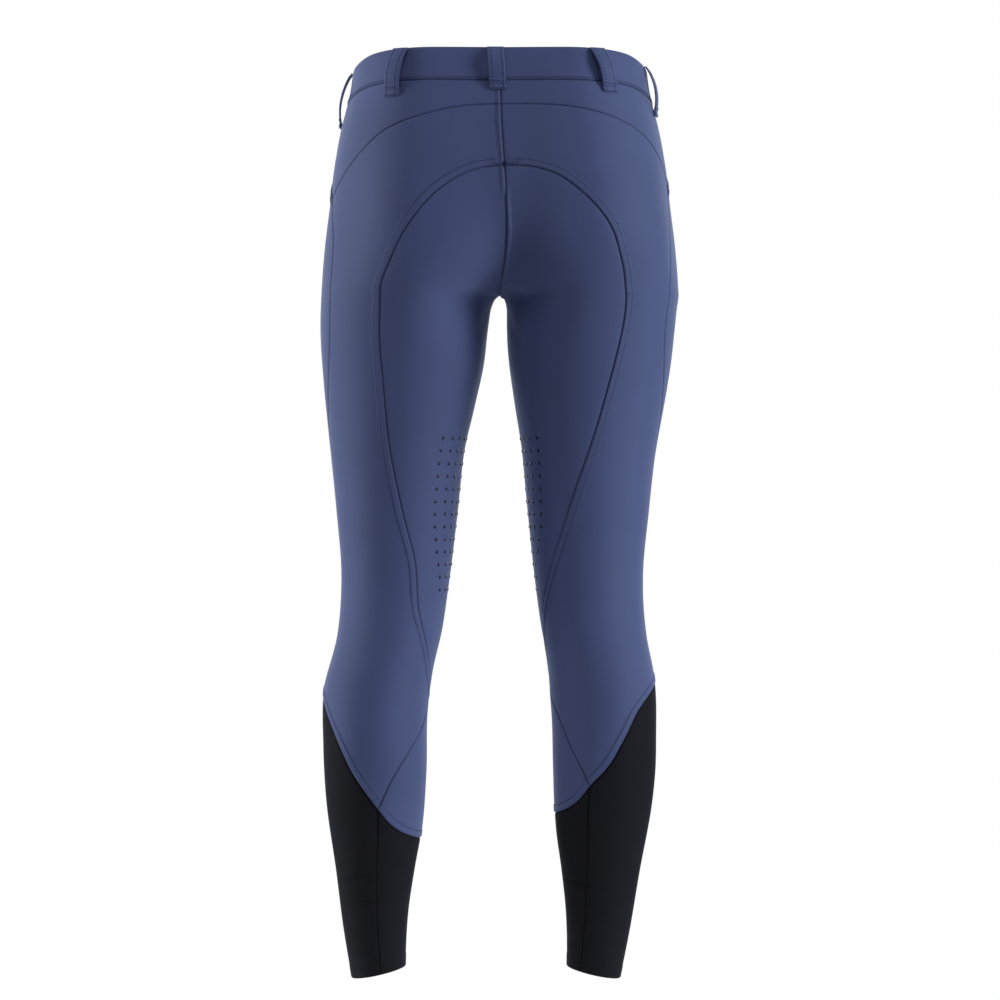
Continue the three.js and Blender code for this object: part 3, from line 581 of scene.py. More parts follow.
def seams_of(side):
    """Every seam of one half, each as dense places."""
    pocket_share = band_share(lambda a, z: surface(a, z)[0] > POCKET_TOP_X)
    side_share = band_share(lambda a, z: a > behind_outer(track_held(side_seam, "behind", z), z)[0])
    shares = [np.linspace(start, end, steps * FINE + 1) for start, end, steps in (
        (0, pocket_share, STEPS["band_front"]), (pocket_share, side_share, STEPS["band_pocket"]),
        (side_share, 1, STEPS["yoke"]))]
    s = dict(zip(("band_front", "band_pocket", "band_back"), map(band_edge, shares)))
    s["band_shares"] = shares
    side_z = SIDE_JOINT_Z[side]
    on_side = lambda z: behind_outer(track(side_seam, "behind", z), z)
    top = s["band_pocket"][-1]
    s["side_upper"] = smooth_line([top, on_side((2 * top[1] + side_z) / 3),
                                   on_side((top[1] + 2 * side_z) / 3), on_side(side_z)],
                                  STEPS["yoke_side"] * FINE)
    mouth_top, side_joint = s["band_pocket"][0], s["side_upper"][-1]
    bend = (0.42 * mouth_top[0] + 0.58 * side_joint[0], (mouth_top[1] + side_joint[1]) / 2)
    s["mouth"] = smooth_line([mouth_top, bend, side_joint], 2 * STEPS["band_pocket"] * FINE)
    back = lambda table: [across_back(x, z) for x, z in table[side]]
    point = (float(even_place(*calf_point[side])), calf_point[side][1])
    s["yoke"] = smooth_line(back(yoke_seam) + [round_back(side_joint)[0]], STEPS["yoke"] * FINE)
    s["arch"] = smooth_line(back(arch_seam) + [point], STEPS["arch"] * FINE)
    s["calf"] = smooth_line([point] + back(calf_seam), STEPS["calf"] * FINE)
    inner = [(float(even_place(a, z)), z) for a, z in front_inner_seam]
    s["inner"] = smooth_line([across_front(0, FRONT_JOINT_Z)] + inner + [point],
                             STEPS["arch"] * FINE)
    s["middle_front"] = rise("yFront", s["band_front"][0, 1], FRONT_JOINT_Z, STEPS["middle"])
    s["middle_back"] = rise("yBack", s["yoke"][0, 1], s["arch"][0, 1], STEPS["middle"])
    s["under_seat"] = joined(rise("yBack", s["arch"][0, 1], CROTCH_Z, STEPS["seat"]),
                             rise("yFront", CROTCH_Z, FRONT_JOINT_Z, STEPS["front"]))
    hem_top = on_side(HEM_HIGHEST_Z[side])
    s["hem_back"] = smooth_line(back(hem_over_back) + [round_back(hem_top)[0]], STEPS["yoke"] * FINE)
    s["hem_front"] = smooth_line(
        [s["hem_back"][0]] + back(hem_inner) + [(0, HEM_LOWEST_Z[side])]
        + [across_front(x, z) for x, z in hem_over_front[side]] + [hem_top],
        (STEPS["band_front"] + 2 * STEPS["band_pocket"]) * FINE)
    s["side_lower"] = smooth_line(
        [side_joint] + [on_side(row[0]) for row in side_seam["rows"][3:-1]] + [hem_top],
        (STEPS["middle"] + STEPS["arch"] + STEPS["calf"]) * FINE)
    return s


seams = {side: seams_of(side) for side in SIDES}
print("seams", {side: len(seams[side]) for side in SIDES})

# %% [markdown]
# ## Cutting the panels
# A panel is the space between four seams. Its rows and columns are blended from the seams, and
# a few passes ease them so that none cross near the tight corners. A modeller could pull such
# a mesh by hand, but then the seams of two neighbours would never quite meet. Rows lie close
# together beside a seam, where the cloth rolls under, and far apart in the plain middle.

# %% Filling between four seams
EASING_PASSES = 160


def read(line, at):
    """Places along a dense line at shares 0 to 1."""
    steps = np.arange(len(line))
    return np.stack([np.interp(at * (len(line) - 1), steps, line[:, n]) for n in (0, 1)], -1)


def blended(s, t, top, bottom, left, right):
    """Places between four lines, by share across s and share down t."""
    across, down = s[..., None], t[..., None]
    corners = ((1 - across) * (1 - down) * top[0] + across * (1 - down) * top[-1]
               + (1 - across) * down * bottom[0] + across * down * bottom[-1])
    return ((1 - across) * read(left, t) + across * read(right, t)
            + (1 - down) * read(top, s) + down * read(bottom, s) - corners)


def eased(grid):
    """The grid with every inner place moved to where the rows and columns through it bend least."""
    g = grid.copy()
    for _ in range(EASING_PASSES):
        west, east, north, south = g[1:-1, :-2], g[1:-1, 2:], g[:-2, 1:-1], g[2:, 1:-1]
        across, down = (east - west) / 2, (south - north) / 2
        for_across, for_down = (down**2).sum(2, keepdims=True), (across**2).sum(2, keepdims=True)
        skew = (across * down).sum(2, keepdims=True)
        corner = g[2:, 2:] - g[2:, :-2] - g[:-2, 2:] + g[:-2, :-2]
        moved = (for_across * (west + east) + for_down * (north + south) - skew * corner / 2)
        g[1:-1, 1:-1] = moved / np.maximum(2 * (for_across + for_down), 1e-9)
    return g


def patch(top, bottom, left, right):
    """A function from shares across and down to places between four seams."""
    columns, rows = (len(top) - 1) // FINE, (len(left) - 1) // FINE
    s, t = np.meshgrid(np.linspace(0, 1, columns + 1), np.linspace(0, 1, rows + 1))
    plain = blended(s, t, top, bottom, left, right)
    shift = eased(plain) - plain

    def places(s, t):
        i = np.clip((s * columns).astype(int), 0, columns - 1)
        j = np.clip((t * rows).astype(int), 0, rows - 1)
        u, v = (s * columns - i)[..., None], (t * rows - j)[..., None]
        moved = ((1 - v) * ((1 - u) * shift[j, i] + u * shift[j, i + 1])
                 + v * ((1 - u) * shift[j + 1, i] + u * shift[j + 1, i + 1]))
        return blended(s, t, top, bottom, left, right) + moved

    return places


# %% Rows and columns, close together beside a seam
EDGE_STATIONS = np.array([0, 0.4, 0.8, 1.3, 1.9, 2.6, 3.4, 4.3, 5.2, 6.0, 6.7, 7.4, 8.4, 10.5])


def stations(lengths, middle, near=None, far=None):
    """Distances along lines of these lengths. near and far say how much the close steps at a seam
    at either end are drawn out, because the line meets it at a slant; None has no close steps."""
    lengths = np.atleast_1d(lengths)[:, None]
    room = 0.42 * lengths / EDGE_STATIONS[-1]
    ends = [0 * lengths if slant is None else EDGE_STATIONS * np.minimum(np.reshape(slant, (-1, 1)), room)
            for slant in (near, far)]
    first, last = ends[0], lengths - ends[1][:, ::-1]
    share = np.linspace(0, 1, middle + 2)[1:-1]
    between = first[:, -1:] + (last[:, :1] - first[:, -1:]) * share
    return np.concatenate([first, between, last], 1)


def run_along(grid, axis):
    """The distance run along each row or column of a grid of points."""
    steps = np.linalg.norm(np.diff(grid, axis=axis), axis=2)
    return np.concatenate([np.zeros_like(steps.take([0], axis)), np.cumsum(steps, axis)], axis)


def slant_at(edge, inside):
    """How much longer a line into the panel is than the straight way off the seam."""
    along, into = np.gradient(edge, axis=0), inside - edge
    size = np.linalg.norm(along, axis=1) * np.linalg.norm(into, axis=1)
    sine = np.linalg.norm(np.cross(along, into), axis=1) / np.maximum(size, 1e-9)
    kernel = np.hanning(27)[1:-1]
    even = np.convolve(np.pad(sine, 12, mode="edge"), kernel / kernel.sum(), "valid")
    return 1 / np.clip(even, 0.3, 1)


def lay_out(places, columns, rows, seams_at):
    """Places of a panel's rows and columns, closer together beside the edges that have a seam."""
    dense_s, dense_t = np.linspace(0, 1, 65), np.linspace(0, 1, 193)
    s, t = np.meshgrid(dense_s, dense_t)
    dense = surface(*np.moveaxis(places(s, t), -1, 0))
    row_run, column_run = run_along(dense, 1), run_along(dense, 0)
    slants = {"left": slant_at(dense[:, 0], dense[:, 1]), "right": slant_at(dense[:, -1], dense[:, -2]),
              "top": slant_at(dense[0], dense[1]), "bottom": slant_at(dense[-1], dense[-2])}
    slants = {where: slant if seams_at[where] else None for where, slant in slants.items()}
    typical = lambda where: None if slants[where] is None else np.median(slants[where])
    at = lambda where, dense_at, bar: None if slants[where] is None else np.interp(bar, dense_at, slants[where])
    mean_row, mean_column = row_run[:, -1].max(), column_run[-1].mean()
    s_bar = stations(mean_row, columns, typical("left"), typical("right"))[0] / mean_row
    t_bar = stations(mean_column, rows, typical("top"), typical("bottom"))[0] / mean_column
    runs = np.stack([np.interp(t_bar, dense_t, row_run[:, n]) for n in range(65)], 1)
    falls = np.stack([np.interp(s_bar, dense_s, column_run[n]) for n in range(193)], 0)
    at_row = stations(runs[:, -1], columns, at("left", dense_t, t_bar), at("right", dense_t, t_bar))
    at_column = stations(falls[-1], rows, at("top", dense_s, s_bar), at("bottom", dense_s, s_bar))
    s_out = np.empty((len(t_bar), len(s_bar)))
    t_out = np.empty_like(s_out)
    for j in range(len(t_bar)):
        s_out[j] = np.interp(at_row[j], runs[j], dense_s) if runs[j, -1] > 1 else s_bar
    for i in range(len(s_bar)):
        t_out[:, i] = np.interp(at_column[i], falls[:, i], dense_t)
    return places(s_out, t_out)


def distance_to_line(points, line):
    """The distance in space from each point to a run of short straight steps."""
    nearest = np.empty(len(points), int)
    for start in range(0, len(points), 4000):
        part = points[start:start + 4000]
        nearest[start:start + 4000] = ((part[:, None] - line[None])**2).sum(2).argmin(1)
    best = np.full(len(points), 1e9)
    for step in (-1, 0):
        k = np.clip(nearest + step, 0, len(line) - 2)
        a, b = line[k], line[k + 1]
        ab = b - a
        f = np.clip(((points - a) * ab).sum(1) / np.maximum((ab**2).sum(1), 1e-12), 0, 1)
        best = np.minimum(best, np.linalg.norm(points - a - f[:, None] * ab, axis=1))
    return best


# %% [markdown]
# ## How an edge lies
# Sewn stretch cloth shows three kinds of edge. A plain seam rolls under on both sides, which
# gives one crisp dark line. A topstitched seam has its allowance pressed to one side, so a band
# about 7 mm wide stands up a little and ends in a shallow groove where the thread pulls it
# down. A hem is turned up and has the same band. Each kind is a small rule that gives the
# cloth's height by distance from the seam, in millimetres, so no separate strips are needed.
# The dark lines are deepened further by painted shade in the cloth's colour, at each seam and
# along each topstitch groove.

# %% Edge profiles
TOPSTITCH = 6.6


def bump_at(d, width):
    return np.exp(-(d / width)**2)


def plain_edge(d, z):
    return -0.85 * bump_at(d, 0.95) - 0.12 * bump_at(d, 3)


def raised_edge(d, z):
    band = 0.55 * (1 - smooth_step(TOPSTITCH - 0.2, TOPSTITCH + 1.6, d))
    return band - 1.25 * bump_at(d, 0.8) - 0.22 * bump_at(d - TOPSTITCH, 0.55)


def hem_edge(d, z):
    band = 0.6 * (1 - smooth_step(TOPSTITCH, TOPSTITCH + 1.6, d))
    return band - 0.8 * bump_at(d, 0.55) - 0.45 * bump_at(d - TOPSTITCH, 0.6)


def pocket_edge(d, z):
    band = 0.8 * (1 - smooth_step(TOPSTITCH, TOPSTITCH + 1.8, d))
    return band - 0.75 * bump_at(d, 0.6) - 0.25 * bump_at(d - TOPSTITCH, 0.6) - 0.12 * bump_at(d - 1.6, 0.4)


TOPSTITCHED = (hem_edge, raised_edge, pocket_edge)


def bearer_edge(d, z):
    return -0.9 * bump_at(d, 2.2)


def no_edge(d, z):
    return 0 * d


WELT_TURNS_Z = -112


def welt(on_left):
    """The narrow welt of the middle back seam, which lies to the left above the arch and to the
    right below it, a little unevenly."""
    def edge(d, z):
        left_share = smooth_step(WELT_TURNS_Z - 6, WELT_TURNS_Z + 6, z)
        share = left_share if on_left else 1 - left_share
        width = 3.7 + 0.5 * np.sin(z / 9.0) + 0.3 * np.sin(z / 3.7)
        ridge = 0.95 * (1 - smooth_step(width - 0.9, width + 0.9, d)) * share
        return ridge - (0.55 + 0.55 * share) * bump_at(d, 0.75) - 0.5 * (1 - share) * bump_at(d, 1.6)
    return edge


# %% [markdown]
# ## Creases
# The cloth is stretched smooth over the seat and thighs. It creases only where a leg bends or
# the cloth bunches: small drag lines at the crotch, shallow hollows behind the knees and fine
# ripples above the heel in the thin cuff. A cloth simulation would need a body and would
# crease where it likes, so each crease is listed one by one as a soft trough or ridge with its own
# length, depth and width. No two are the same, and the front has its share.

# %% Crease table
creases = {
    # side, start (distance out, height), end, width, depth (negative is a trough), sideways bend
    "back": [
        ("right", (4, -216), (30, -262), 7.0, -1.3, 3),
        ("right", (2, -206), (44, -232), 8.5, -0.9, -3),
        ("right", (10, -232), (26, -300), 9.0, 0.7, 4),
        ("left", (4, -216), (22, -250), 6.5, -1.0, -2),
        ("left", (2, -205), (36, -226), 7.5, -0.6, 2),
        ("left", (16, -262), (30, -330), 10.0, -0.5, 3),
        ("left", (60, -448), (132, -462), 11.0, -0.9, 4),
        ("left", (74, -486), (150, -478), 13.0, 0.8, -5),
        ("left", (66, -520), (120, -534), 10.0, -0.8, 3),
        ("left", (96, -560), (158, -548), 14.0, -0.6, -4),
        ("right", (62, -458), (118, -446), 10.0, -0.7, -3),
        ("right", (88, -492), (148, -502), 13.0, 0.7, 5),
        ("right", (64, -528), (126, -520), 11.0, -0.9, -3),
        ("right", (70, -566), (112, -574), 9.0, -0.5, 2),
        ("left", (120, -640), (170, -660), 12.0, 0.5, 3),
        ("right", (104, -618), (150, -634), 12.0, 0.5, -3),
        ("left", (30, -40), (84, -64), 14.0, 0.4, 3),
        ("right", (40, -150), (104, -196), 18.0, 0.5, 4),
        ("left", (44, -160), (108, -206), 20.0, 0.5, -4),
    ],
    "front": [
        ("left", (6, -196), (58, -168), 8.0, -1.0, 3),
        ("left", (14, -206), (74, -190), 9.0, 0.7, -3),
        ("left", (24, -226), (70, -236), 8.0, -0.8, 2),
        ("right", (5, -194), (52, -172), 7.5, -0.9, -3),
        ("right", (16, -210), (66, -198), 9.0, 0.6, 3),
        ("right", (26, -232), (78, -226), 8.5, -0.7, -2),
        ("left", (70, -470), (130, -486), 12.0, -0.7, 3),
        ("left", (76, -520), (136, -512), 11.0, -0.8, -3),
        ("right", (74, -480), (126, -470), 11.0, -0.7, -3),
        ("right", (80, -530), (140, -540), 13.0, -0.6, 3),
        ("left", (100, -590), (150, -574), 12.0, 0.5, 2),
    ],
}
# Ripples in the thin cuff, in the same columns
cuff_creases = {
    "back": [
        ("left", (132, -802), (157, -806), 2.0, -1.50, 0.6),
        ("left", (130, -823), (160, -818), 2.3, 1.36, -0.8),
        ("left", (128, -828), (152, -830), 2.0, -1.63, 0.6),
        ("left", (100, -790), (116, -794), 2.4, -1.09, 0.5),
        ("left", (98, -846), (114, -842), 2.2, -0.94, 0.4),
        ("left", (126, -866), (150, -862), 3.0, -0.94, 0.8),
        ("left", (128, -905), (146, -900), 2.7, 1.09, 0.4),
        ("right", (92, -806), (124, -812), 2.2, -1.36, 0.8),
        ("right", (96, -818), (122, -816), 2.0, 1.23, -0.6),
        ("right", (104, -842), (134, -838), 2.7, -1.09, 0.8),
        ("right", (88, -868), (106, -872), 2.4, -0.94, 0.5),
        ("right", (118, -896), (138, -892), 2.7, -0.82, 0.5),
    ],
    "front": [
        ("left", (96, -800), (140, -806), 2.7, -1.36, 1.5),
        ("left", (100, -818), (150, -812), 3.2, 1.36, -1.5),
        ("left", (104, -836), (144, -842), 2.7, -1.36, 1.2),
        ("left", (98, -868), (136, -862), 3.5, 1.09, -1),
        ("right", (92, -796), (138, -790), 3.0, -1.36, -1.5),
        ("right", (96, -812), (146, -818), 3.2, 1.36, 1.5),
        ("right", (100, -832), (140, -826), 2.7, -1.36, -1.2),
        ("right", (96, -858), (132, -864), 3.5, -1.09, 1),
    ],
}


def crease_lines(table, side):
    """The creases of one half as bent lines of places, with width and depth."""
    lines = []
    for face, across in (("back", across_back), ("front", across_front)):
        for its_side, start, end, width, depth, bend in table[face]:
            if its_side != side:
                continue
            first, last = np.array(across(*start)), np.array(across(*end))
            run = last - first
            middle = (first + last) / 2 + bend * np.array([-run[1], run[0]]) / np.linalg.norm(run)
            lines.append((smooth_line([first, middle, last], 24), width, depth))
    return lines


def crease_height(lines, places):
    """The height that the creases add at places, fading out towards their ends."""
    flat = places.reshape(-1, 2)
    total = np.zeros(len(flat))
    for line, width, depth in lines:
        length = np.linalg.norm(line[-1] - line[0])
        for turn in (-1, 0, 1):
            # The same place is also reached the other way round the leg
            moved = flat + np.stack([turn * even_girth(flat[:, 1]), 0 * flat[:, 1]], 1)
            near = np.abs(moved - line.mean(0)).max(1) < length / 2 + 4 * width
            if not near.any():
                continue
            gap = moved[near][:, None] - line[None]
            square = (gap**2).sum(2)
            k = square.argmin(1)
            share = k / (len(line) - 1)
            fade = np.sin(np.pi * np.clip(share, 0.02, 0.98))**0.7
            total[near] += depth * fade * np.exp(-square.min(1) / width**2)
    return total.reshape(places.shape[:-1])


creases_of = {side: crease_lines(creases, side) for side in SIDES}
print("creases", {side: len(creases_of[side]) for side in SIDES})

# %% [markdown]
# ## From places to a sewn panel
# Each panel becomes a closed thin shell: an outer face lifted by its edge profiles and creases,
# an inner face one cloth thickness below, and narrow rims between them. The right half is the
# mirror of the left, then swayed inwards, as the legs in the photograph differ. Two things are
# stored with the mesh for the material: a flat UV map of the cut cloth, in metres, and how much
# painted shade each point takes. It is darkest in the fold of a seam, lighter along a topstitch
# groove, and a steady share over the whole inner face.

# %% Shells
def hang(points, side):
    """The half garment's points in their place on the garment, in metres."""
    x, y, z = np.moveaxis(points, -1, 0)
    bow = track_held(seat_bow, "x", z) * smooth_step(BOW_FROM, BOW_TO, y)
    inward = np.where(z < CROTCH_Z, track_held(right_leg_sway, "inward", z), 0)
    placed_x = x - bow if side == "left" else inward - x - bow
    return np.stack([placed_x, y, z], -1) * MM


def inwards_from_middle(a, z):
    """The sense, 1 or -1, in which a place moves away from the nearer middle seam."""
    girth = even_girth(z)
    return np.where(a % girth > girth / 2, -1.0, 1.0)


def outward_at(a, z):
    """Outward directions at places, from small steps that stay clear of the middle seam."""
    step = 0.4 * inwards_from_middle(a, z)
    here = surface(a, z)
    along = (surface(a + step, z) - here) * np.sign(step)[..., None]
    up = surface(a, z + 0.4) - here
    n = np.cross(along, up)
    return n / np.maximum(np.linalg.norm(n, axis=-1, keepdims=True), 1e-9)


def grid_normals(points, places):
    """Outward directions of a grid of points, from its own rows and columns."""
    n = np.cross(np.gradient(points, axis=1), np.gradient(points, axis=0))
    size = np.linalg.norm(n, axis=-1, keepdims=True)
    n = n / np.maximum(size, 1e-12)
    for j in range(1, len(n)):
        thin = size[j, :, 0] < 1e-9
        n[j, thin] = n[j - 1, thin]
    j, i = len(n) // 2, n.shape[1] // 2
    a, z = places[j, i]
    flip = np.sign(float(np.dot(n[j, i], outward_at(np.array([a]), np.array([z]))[0])))
    return n * flip


SEAM_TUCK = 0.12


def tucked(points):
    """The grid with its edges drawn out a hair, so that neighbours meet at the foot of the seam."""
    grid = points.copy()
    for edge, inside in ((np.s_[0], np.s_[2]), (np.s_[-1], np.s_[-3]), (np.s_[:, 0], np.s_[:, 2]),
                         (np.s_[:, -1], np.s_[:, -3])):
        out = points[edge] - points[inside]
        size = np.linalg.norm(out, axis=-1, keepdims=True)
        grid[edge] += SEAM_TUCK * np.where(size > 0.05, out / np.maximum(size, 1e-9), 0)
    return grid


def shell_mesh(name, outer, inner, places, seam, flip_faces, wrap=False):
    """A closed mesh from outer and inner grids, with the cut's UV map and the painted seam shade."""
    rows, columns = outer.shape[:2]
    corner = np.arange(rows * columns).reshape(rows, columns)
    if wrap:
        corner = np.concatenate([corner, corner[:, :1]], 1)
    quads = lambda c: np.stack([c[:-1, :-1], c[1:, :-1], c[1:, 1:], c[:-1, 1:]], -1).reshape(-1, 4)
    below = corner + rows * columns
    edge = lambda a, b: np.stack([a[:-1], a[1:], b[1:], b[:-1]], -1)
    faces = [quads(corner), quads(below)[:, ::-1], edge(corner[0], below[0]), edge(below[-1], corner[-1])]
    if not wrap:
        faces += [edge(below[:, 0], corner[:, 0]), edge(corner[:, -1], below[:, -1])]
    smooth = 2 * len(faces[0])
    faces = np.concatenate(faces)
    if flip_faces:
        faces = faces[:, ::-1]
    points = np.concatenate([outer.reshape(-1, 3), inner.reshape(-1, 3)])
    mesh = bpy.data.meshes.new(name)
    mesh.vertices.add(len(points))
    mesh.vertices.foreach_set("co", points.ravel())
    mesh.loops.add(faces.size)
    mesh.loops.foreach_set("vertex_index", faces.ravel())
    mesh.polygons.add(len(faces))
    mesh.polygons.foreach_set("loop_start", np.arange(0, faces.size, 4))
    mesh.polygons.foreach_set("use_smooth", np.arange(len(faces)) < smooth)
    uv = mesh.uv_layers.new(name="cut")
    flat = np.concatenate([places.reshape(-1, 2)] * 2) * MM
    uv.data.foreach_set("uv", flat[faces.ravel()].ravel())
    # Painted shade: darkest in the fold of each seam, lighter along topstitch grooves, and 0.4 over the whole
    # inner face
    depth = mesh.attributes.new("seam", "FLOAT", "POINT")
    depth.data.foreach_set("value", np.concatenate([seam.ravel(), 0.4 + 0 * seam.ravel()]))
    mesh.update()
    mesh.validate()
    return mesh


def show(name, mesh, material, node=None):
    """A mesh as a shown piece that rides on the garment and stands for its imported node."""
    piece = bpy.data.objects.new(name, mesh)
    bpy.context.scene.collection.objects.link(piece)
    if material is not None:
        mesh.materials.append(material)
    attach(piece, "root")
    if node:
        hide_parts(node)
    return piece


def mesh_area(mesh):
    areas = np.empty(len(mesh.polygons))
    mesh.polygons.foreach_get("area", areas)
    return float(areas.sum())


CUTS = {}


def sewn_panel(name, side, places, edges, lift=None, proud=0.0, cloth=CLOTH, folds=None):
    """One closed panel at a grid of places. Each of its four edges has seam lines with the
    profile that the cloth takes beside them."""
    points = surface(places[..., 0], places[..., 1])
    normals = grid_normals(points, places)
    height = crease_height(creases_of[side] if folds is None else folds, places)
    # seam holds painted shade: darkest at each seam line, lighter along a topstitch groove
    seam = np.zeros_like(height)
    reach = len(EDGE_STATIONS) + 8
    for where, profiles in edges.items():
        if not profiles:
            continue
        part = {"top": np.s_[:reach, :], "bottom": np.s_[-reach:, :],
                "left": np.s_[:, :reach], "right": np.s_[:, -reach:]}[where]
        near = points[part]
        flat = near.reshape(-1, 3)
        gaps = np.stack([distance_to_line(flat, surface(line[:, 0], line[:, 1])) for line, _ in profiles])
        nearest = gaps.argmin(0)
        rise_here, dark = np.zeros(len(flat)), bump_at(gaps.min(0), 1.0)
        for k, (_, profile) in enumerate(profiles):
            here = nearest == k
            rise_here[here] = profile(gaps[k, here], flat[here, 2])
            if profile in TOPSTITCHED:
                dark[here] = np.maximum(dark[here], 0.45 * bump_at(gaps[k, here] - TOPSTITCH, 0.5))
        height[part] += rise_here.reshape(near.shape[:2])
        seam[part] = np.maximum(seam[part], dark.reshape(near.shape[:2]))
    if lift is not None:
        height = height + lift
    points = tucked(points)
    outer = points + normals * (proud + height)[..., None]
    below = np.minimum(height, 0.0) * 0.3 if lift is None else height
    inner = points + normals * (proud + below - cloth)[..., None]
    mesh = shell_mesh(name, hang(outer, side), hang(inner, side), places, seam, False)
    turn_outwards(mesh)
    CUTS[name] = {"area": mesh_area(mesh) / 2, "width": float(np.ptp(places[..., 0])) * MM,
                  "height": float(np.ptp(places[..., 1])) * MM}
    return mesh


def panel_between(name, side, columns, rows, right_pace=1.0, **edges):
    """A panel of the main cloth between four edges, each one or more seam lines with a profile.
    A right pace below 1 lets the rows end further down a right edge that turns a corner."""
    whole = {where: joined(*[line for line, _ in profiles]) for where, profiles in edges.items()}
    even = np.linspace(0, 1, len(whole["right"]))
    whole["right"] = read(whole["right"], even**right_pace)
    places = patch(whole["top"], whole["bottom"], whole["left"], whole["right"])
    at = {where: profiles[0][1] is not no_edge for where, profiles in edges.items()}
    kept = {where: profiles if at[where] else [] for where, profiles in edges.items()}
    return sewn_panel(name, side, lay_out(places, columns, rows, at), kept)


def turn_outwards(mesh):
    """Closes merged corners and points all faces of a closed shell outwards."""
    import bmesh
    work = bmesh.new()
    work.from_mesh(mesh)
    bmesh.ops.remove_doubles(work, verts=work.verts, dist=2e-6)
    bmesh.ops.dissolve_degenerate(work, edges=work.edges, dist=1e-7)
    bmesh.ops.recalc_face_normals(work, faces=work.faces)
    work.to_mesh(mesh)
    work.free()
    mesh.update()


# %% [markdown]
# ## The main cloth
# The breeches are a smooth two-way stretch fabric, a tight knit of navy polyamide and
# elastane with a lightly brushed face. The eye sees a soft sheen along the sides, almost no
# weave at this distance, and a faint unevenness where the cloth is stretched more. The sheen
# comes from short fibres that catch light at a glancing angle, so the shader has a sheen coat.

# %% Knit materials
KNIT_PITCH = 0.0011  # metres between wales; the real 0.4 mm is too fine for the picture


def wave_scale(pitch):
    """The scale at which a wave texture repeats once per pitch."""
    return 2 * math.pi / (20 * pitch)


def knit_material(name, face, shade, seam_shade_colour, roughness, shine, sheen, sheen_tint, pitch, relief):
    """A knitted cloth: fine wales and courses, soft unevenness, and painted shade that darkens the rolled seams,
    topstitch grooves and inner face.
    """
    material, tree = new_material(name)
    cut = add_node(tree, "ShaderNodeUVMap", {"uv_map": "cut"})
    place = add_node(tree, "ShaderNodeTexCoord")
    # Wales run down the cloth and courses across it
    wales = add_node(tree, "ShaderNodeTexWave", {"bands_direction": "X"}, Vector=cut.outputs["UV"],
                     Scale=wave_scale(pitch), Distortion=0.6, Detail=1, Detail_Scale=2)
    courses = add_node(tree, "ShaderNodeTexWave", {"bands_direction": "Y"}, Vector=cut.outputs["UV"],
                       Scale=wave_scale(pitch * 0.8), Distortion=0.6, Detail=1, Detail_Scale=2)
    loops = add_node(tree, "ShaderNodeMath", {"operation": "MULTIPLY"}, _0=wales.outputs["Fac"],
                     _1=courses.outputs["Fac"])
    # Brushed fibres, a few millimetres long
    fuzz = add_node(tree, "ShaderNodeTexNoise", Vector=cut.outputs["UV"], Scale=900, Detail=4,
                    Roughness=0.65)
    ground = add_node(tree, "ShaderNodeMath", {"operation": "MULTIPLY_ADD"}, _0=fuzz.outputs["Fac"],
                      _1=0.8, _2=loops.outputs["Value"])
    bump = add_node(tree, "ShaderNodeBump", Strength=relief, Distance=0.0002,
                    Height=ground.outputs["Value"])
    # The cloth's colour drifts a little over a hand's breadth
    drift = add_node(tree, "ShaderNodeTexNoise", Vector=place.outputs["Object"], Scale=9, Detail=2)
    grain = add_node(tree, "ShaderNodeTexNoise", Vector=cut.outputs["UV"], Scale=420, Detail=3)
    mixed_drift = add_node(tree, "ShaderNodeMath", {"operation": "MULTIPLY_ADD"},
                           _0=grain.outputs["Fac"], _1=0.35, _2=drift.outputs["Fac"])
    toned = add_node(tree, "ShaderNodeMapRange", Value=mixed_drift.outputs["Value"])
    toned.inputs["From Min"].default_value = 0.4
    toned.inputs["From Max"].default_value = 0.95
    colour = add_node(tree, "ShaderNodeMix", {"data_type": "RGBA"}, _0=toned.outputs["Result"],
                      _6=linear(shade), _7=linear(face))
    # Painted shade: the stored seam shade darkens the colour towards the seam colour
    depth = add_node(tree, "ShaderNodeAttribute", {"attribute_name": "seam"})
    rolled = add_node(tree, "ShaderNodeMix", {"data_type": "RGBA"}, _0=depth.outputs["Fac"],
                      _6=colour.outputs[2], _7=linear(seam_shade_colour))
    cloth = add_node(tree, "ShaderNodeBsdfPrincipled", Base_Color=rolled.outputs[2],
                     Roughness=roughness, IOR=1.46, Specular_IOR_Level=shine,
                     Normal=bump.outputs["Normal"],
                     Sheen_Weight=sheen, Sheen_Roughness=0.55, Sheen_Tint=linear(sheen_tint))
    add_node(tree, "ShaderNodeOutputMaterial", Surface=cloth.outputs["BSDF"])
    return material


brushed_stretch_knit = knit_material(
    "brushed_stretch_knit", face="#3F4C7C", shade="#384570", seam_shade_colour="#1B2450", roughness=0.74, shine=0.5,
    sheen=0.60, sheen_tint="#9FB1E0", pitch=KNIT_PITCH, relief=0.25)
fine_stretch_jersey = knit_material(
    "fine_stretch_jersey", face="#0E0F1A", shade="#0A0B14", seam_shade_colour="#030306", roughness=0.85, shine=0.25,
    sheen=0.05, sheen_tint="#5A607A", pitch=0.0009, relief=0.3)
print("cloth materials", brushed_stretch_knit.name, fine_stretch_jersey.name)

# %% [markdown]
# ## The panels of each leg
# Each leg has a front panel that wraps round the inner calf, an outer back panel with the
# topstitched arch over the seat, and a seat panel that runs down the inner thigh to a point
# behind the knee. A yoke joins them to the waistband, and a small bearer shows behind the slant
# of the pocket. The arch is pressed outwards, so its raised band lies on the outer panel.

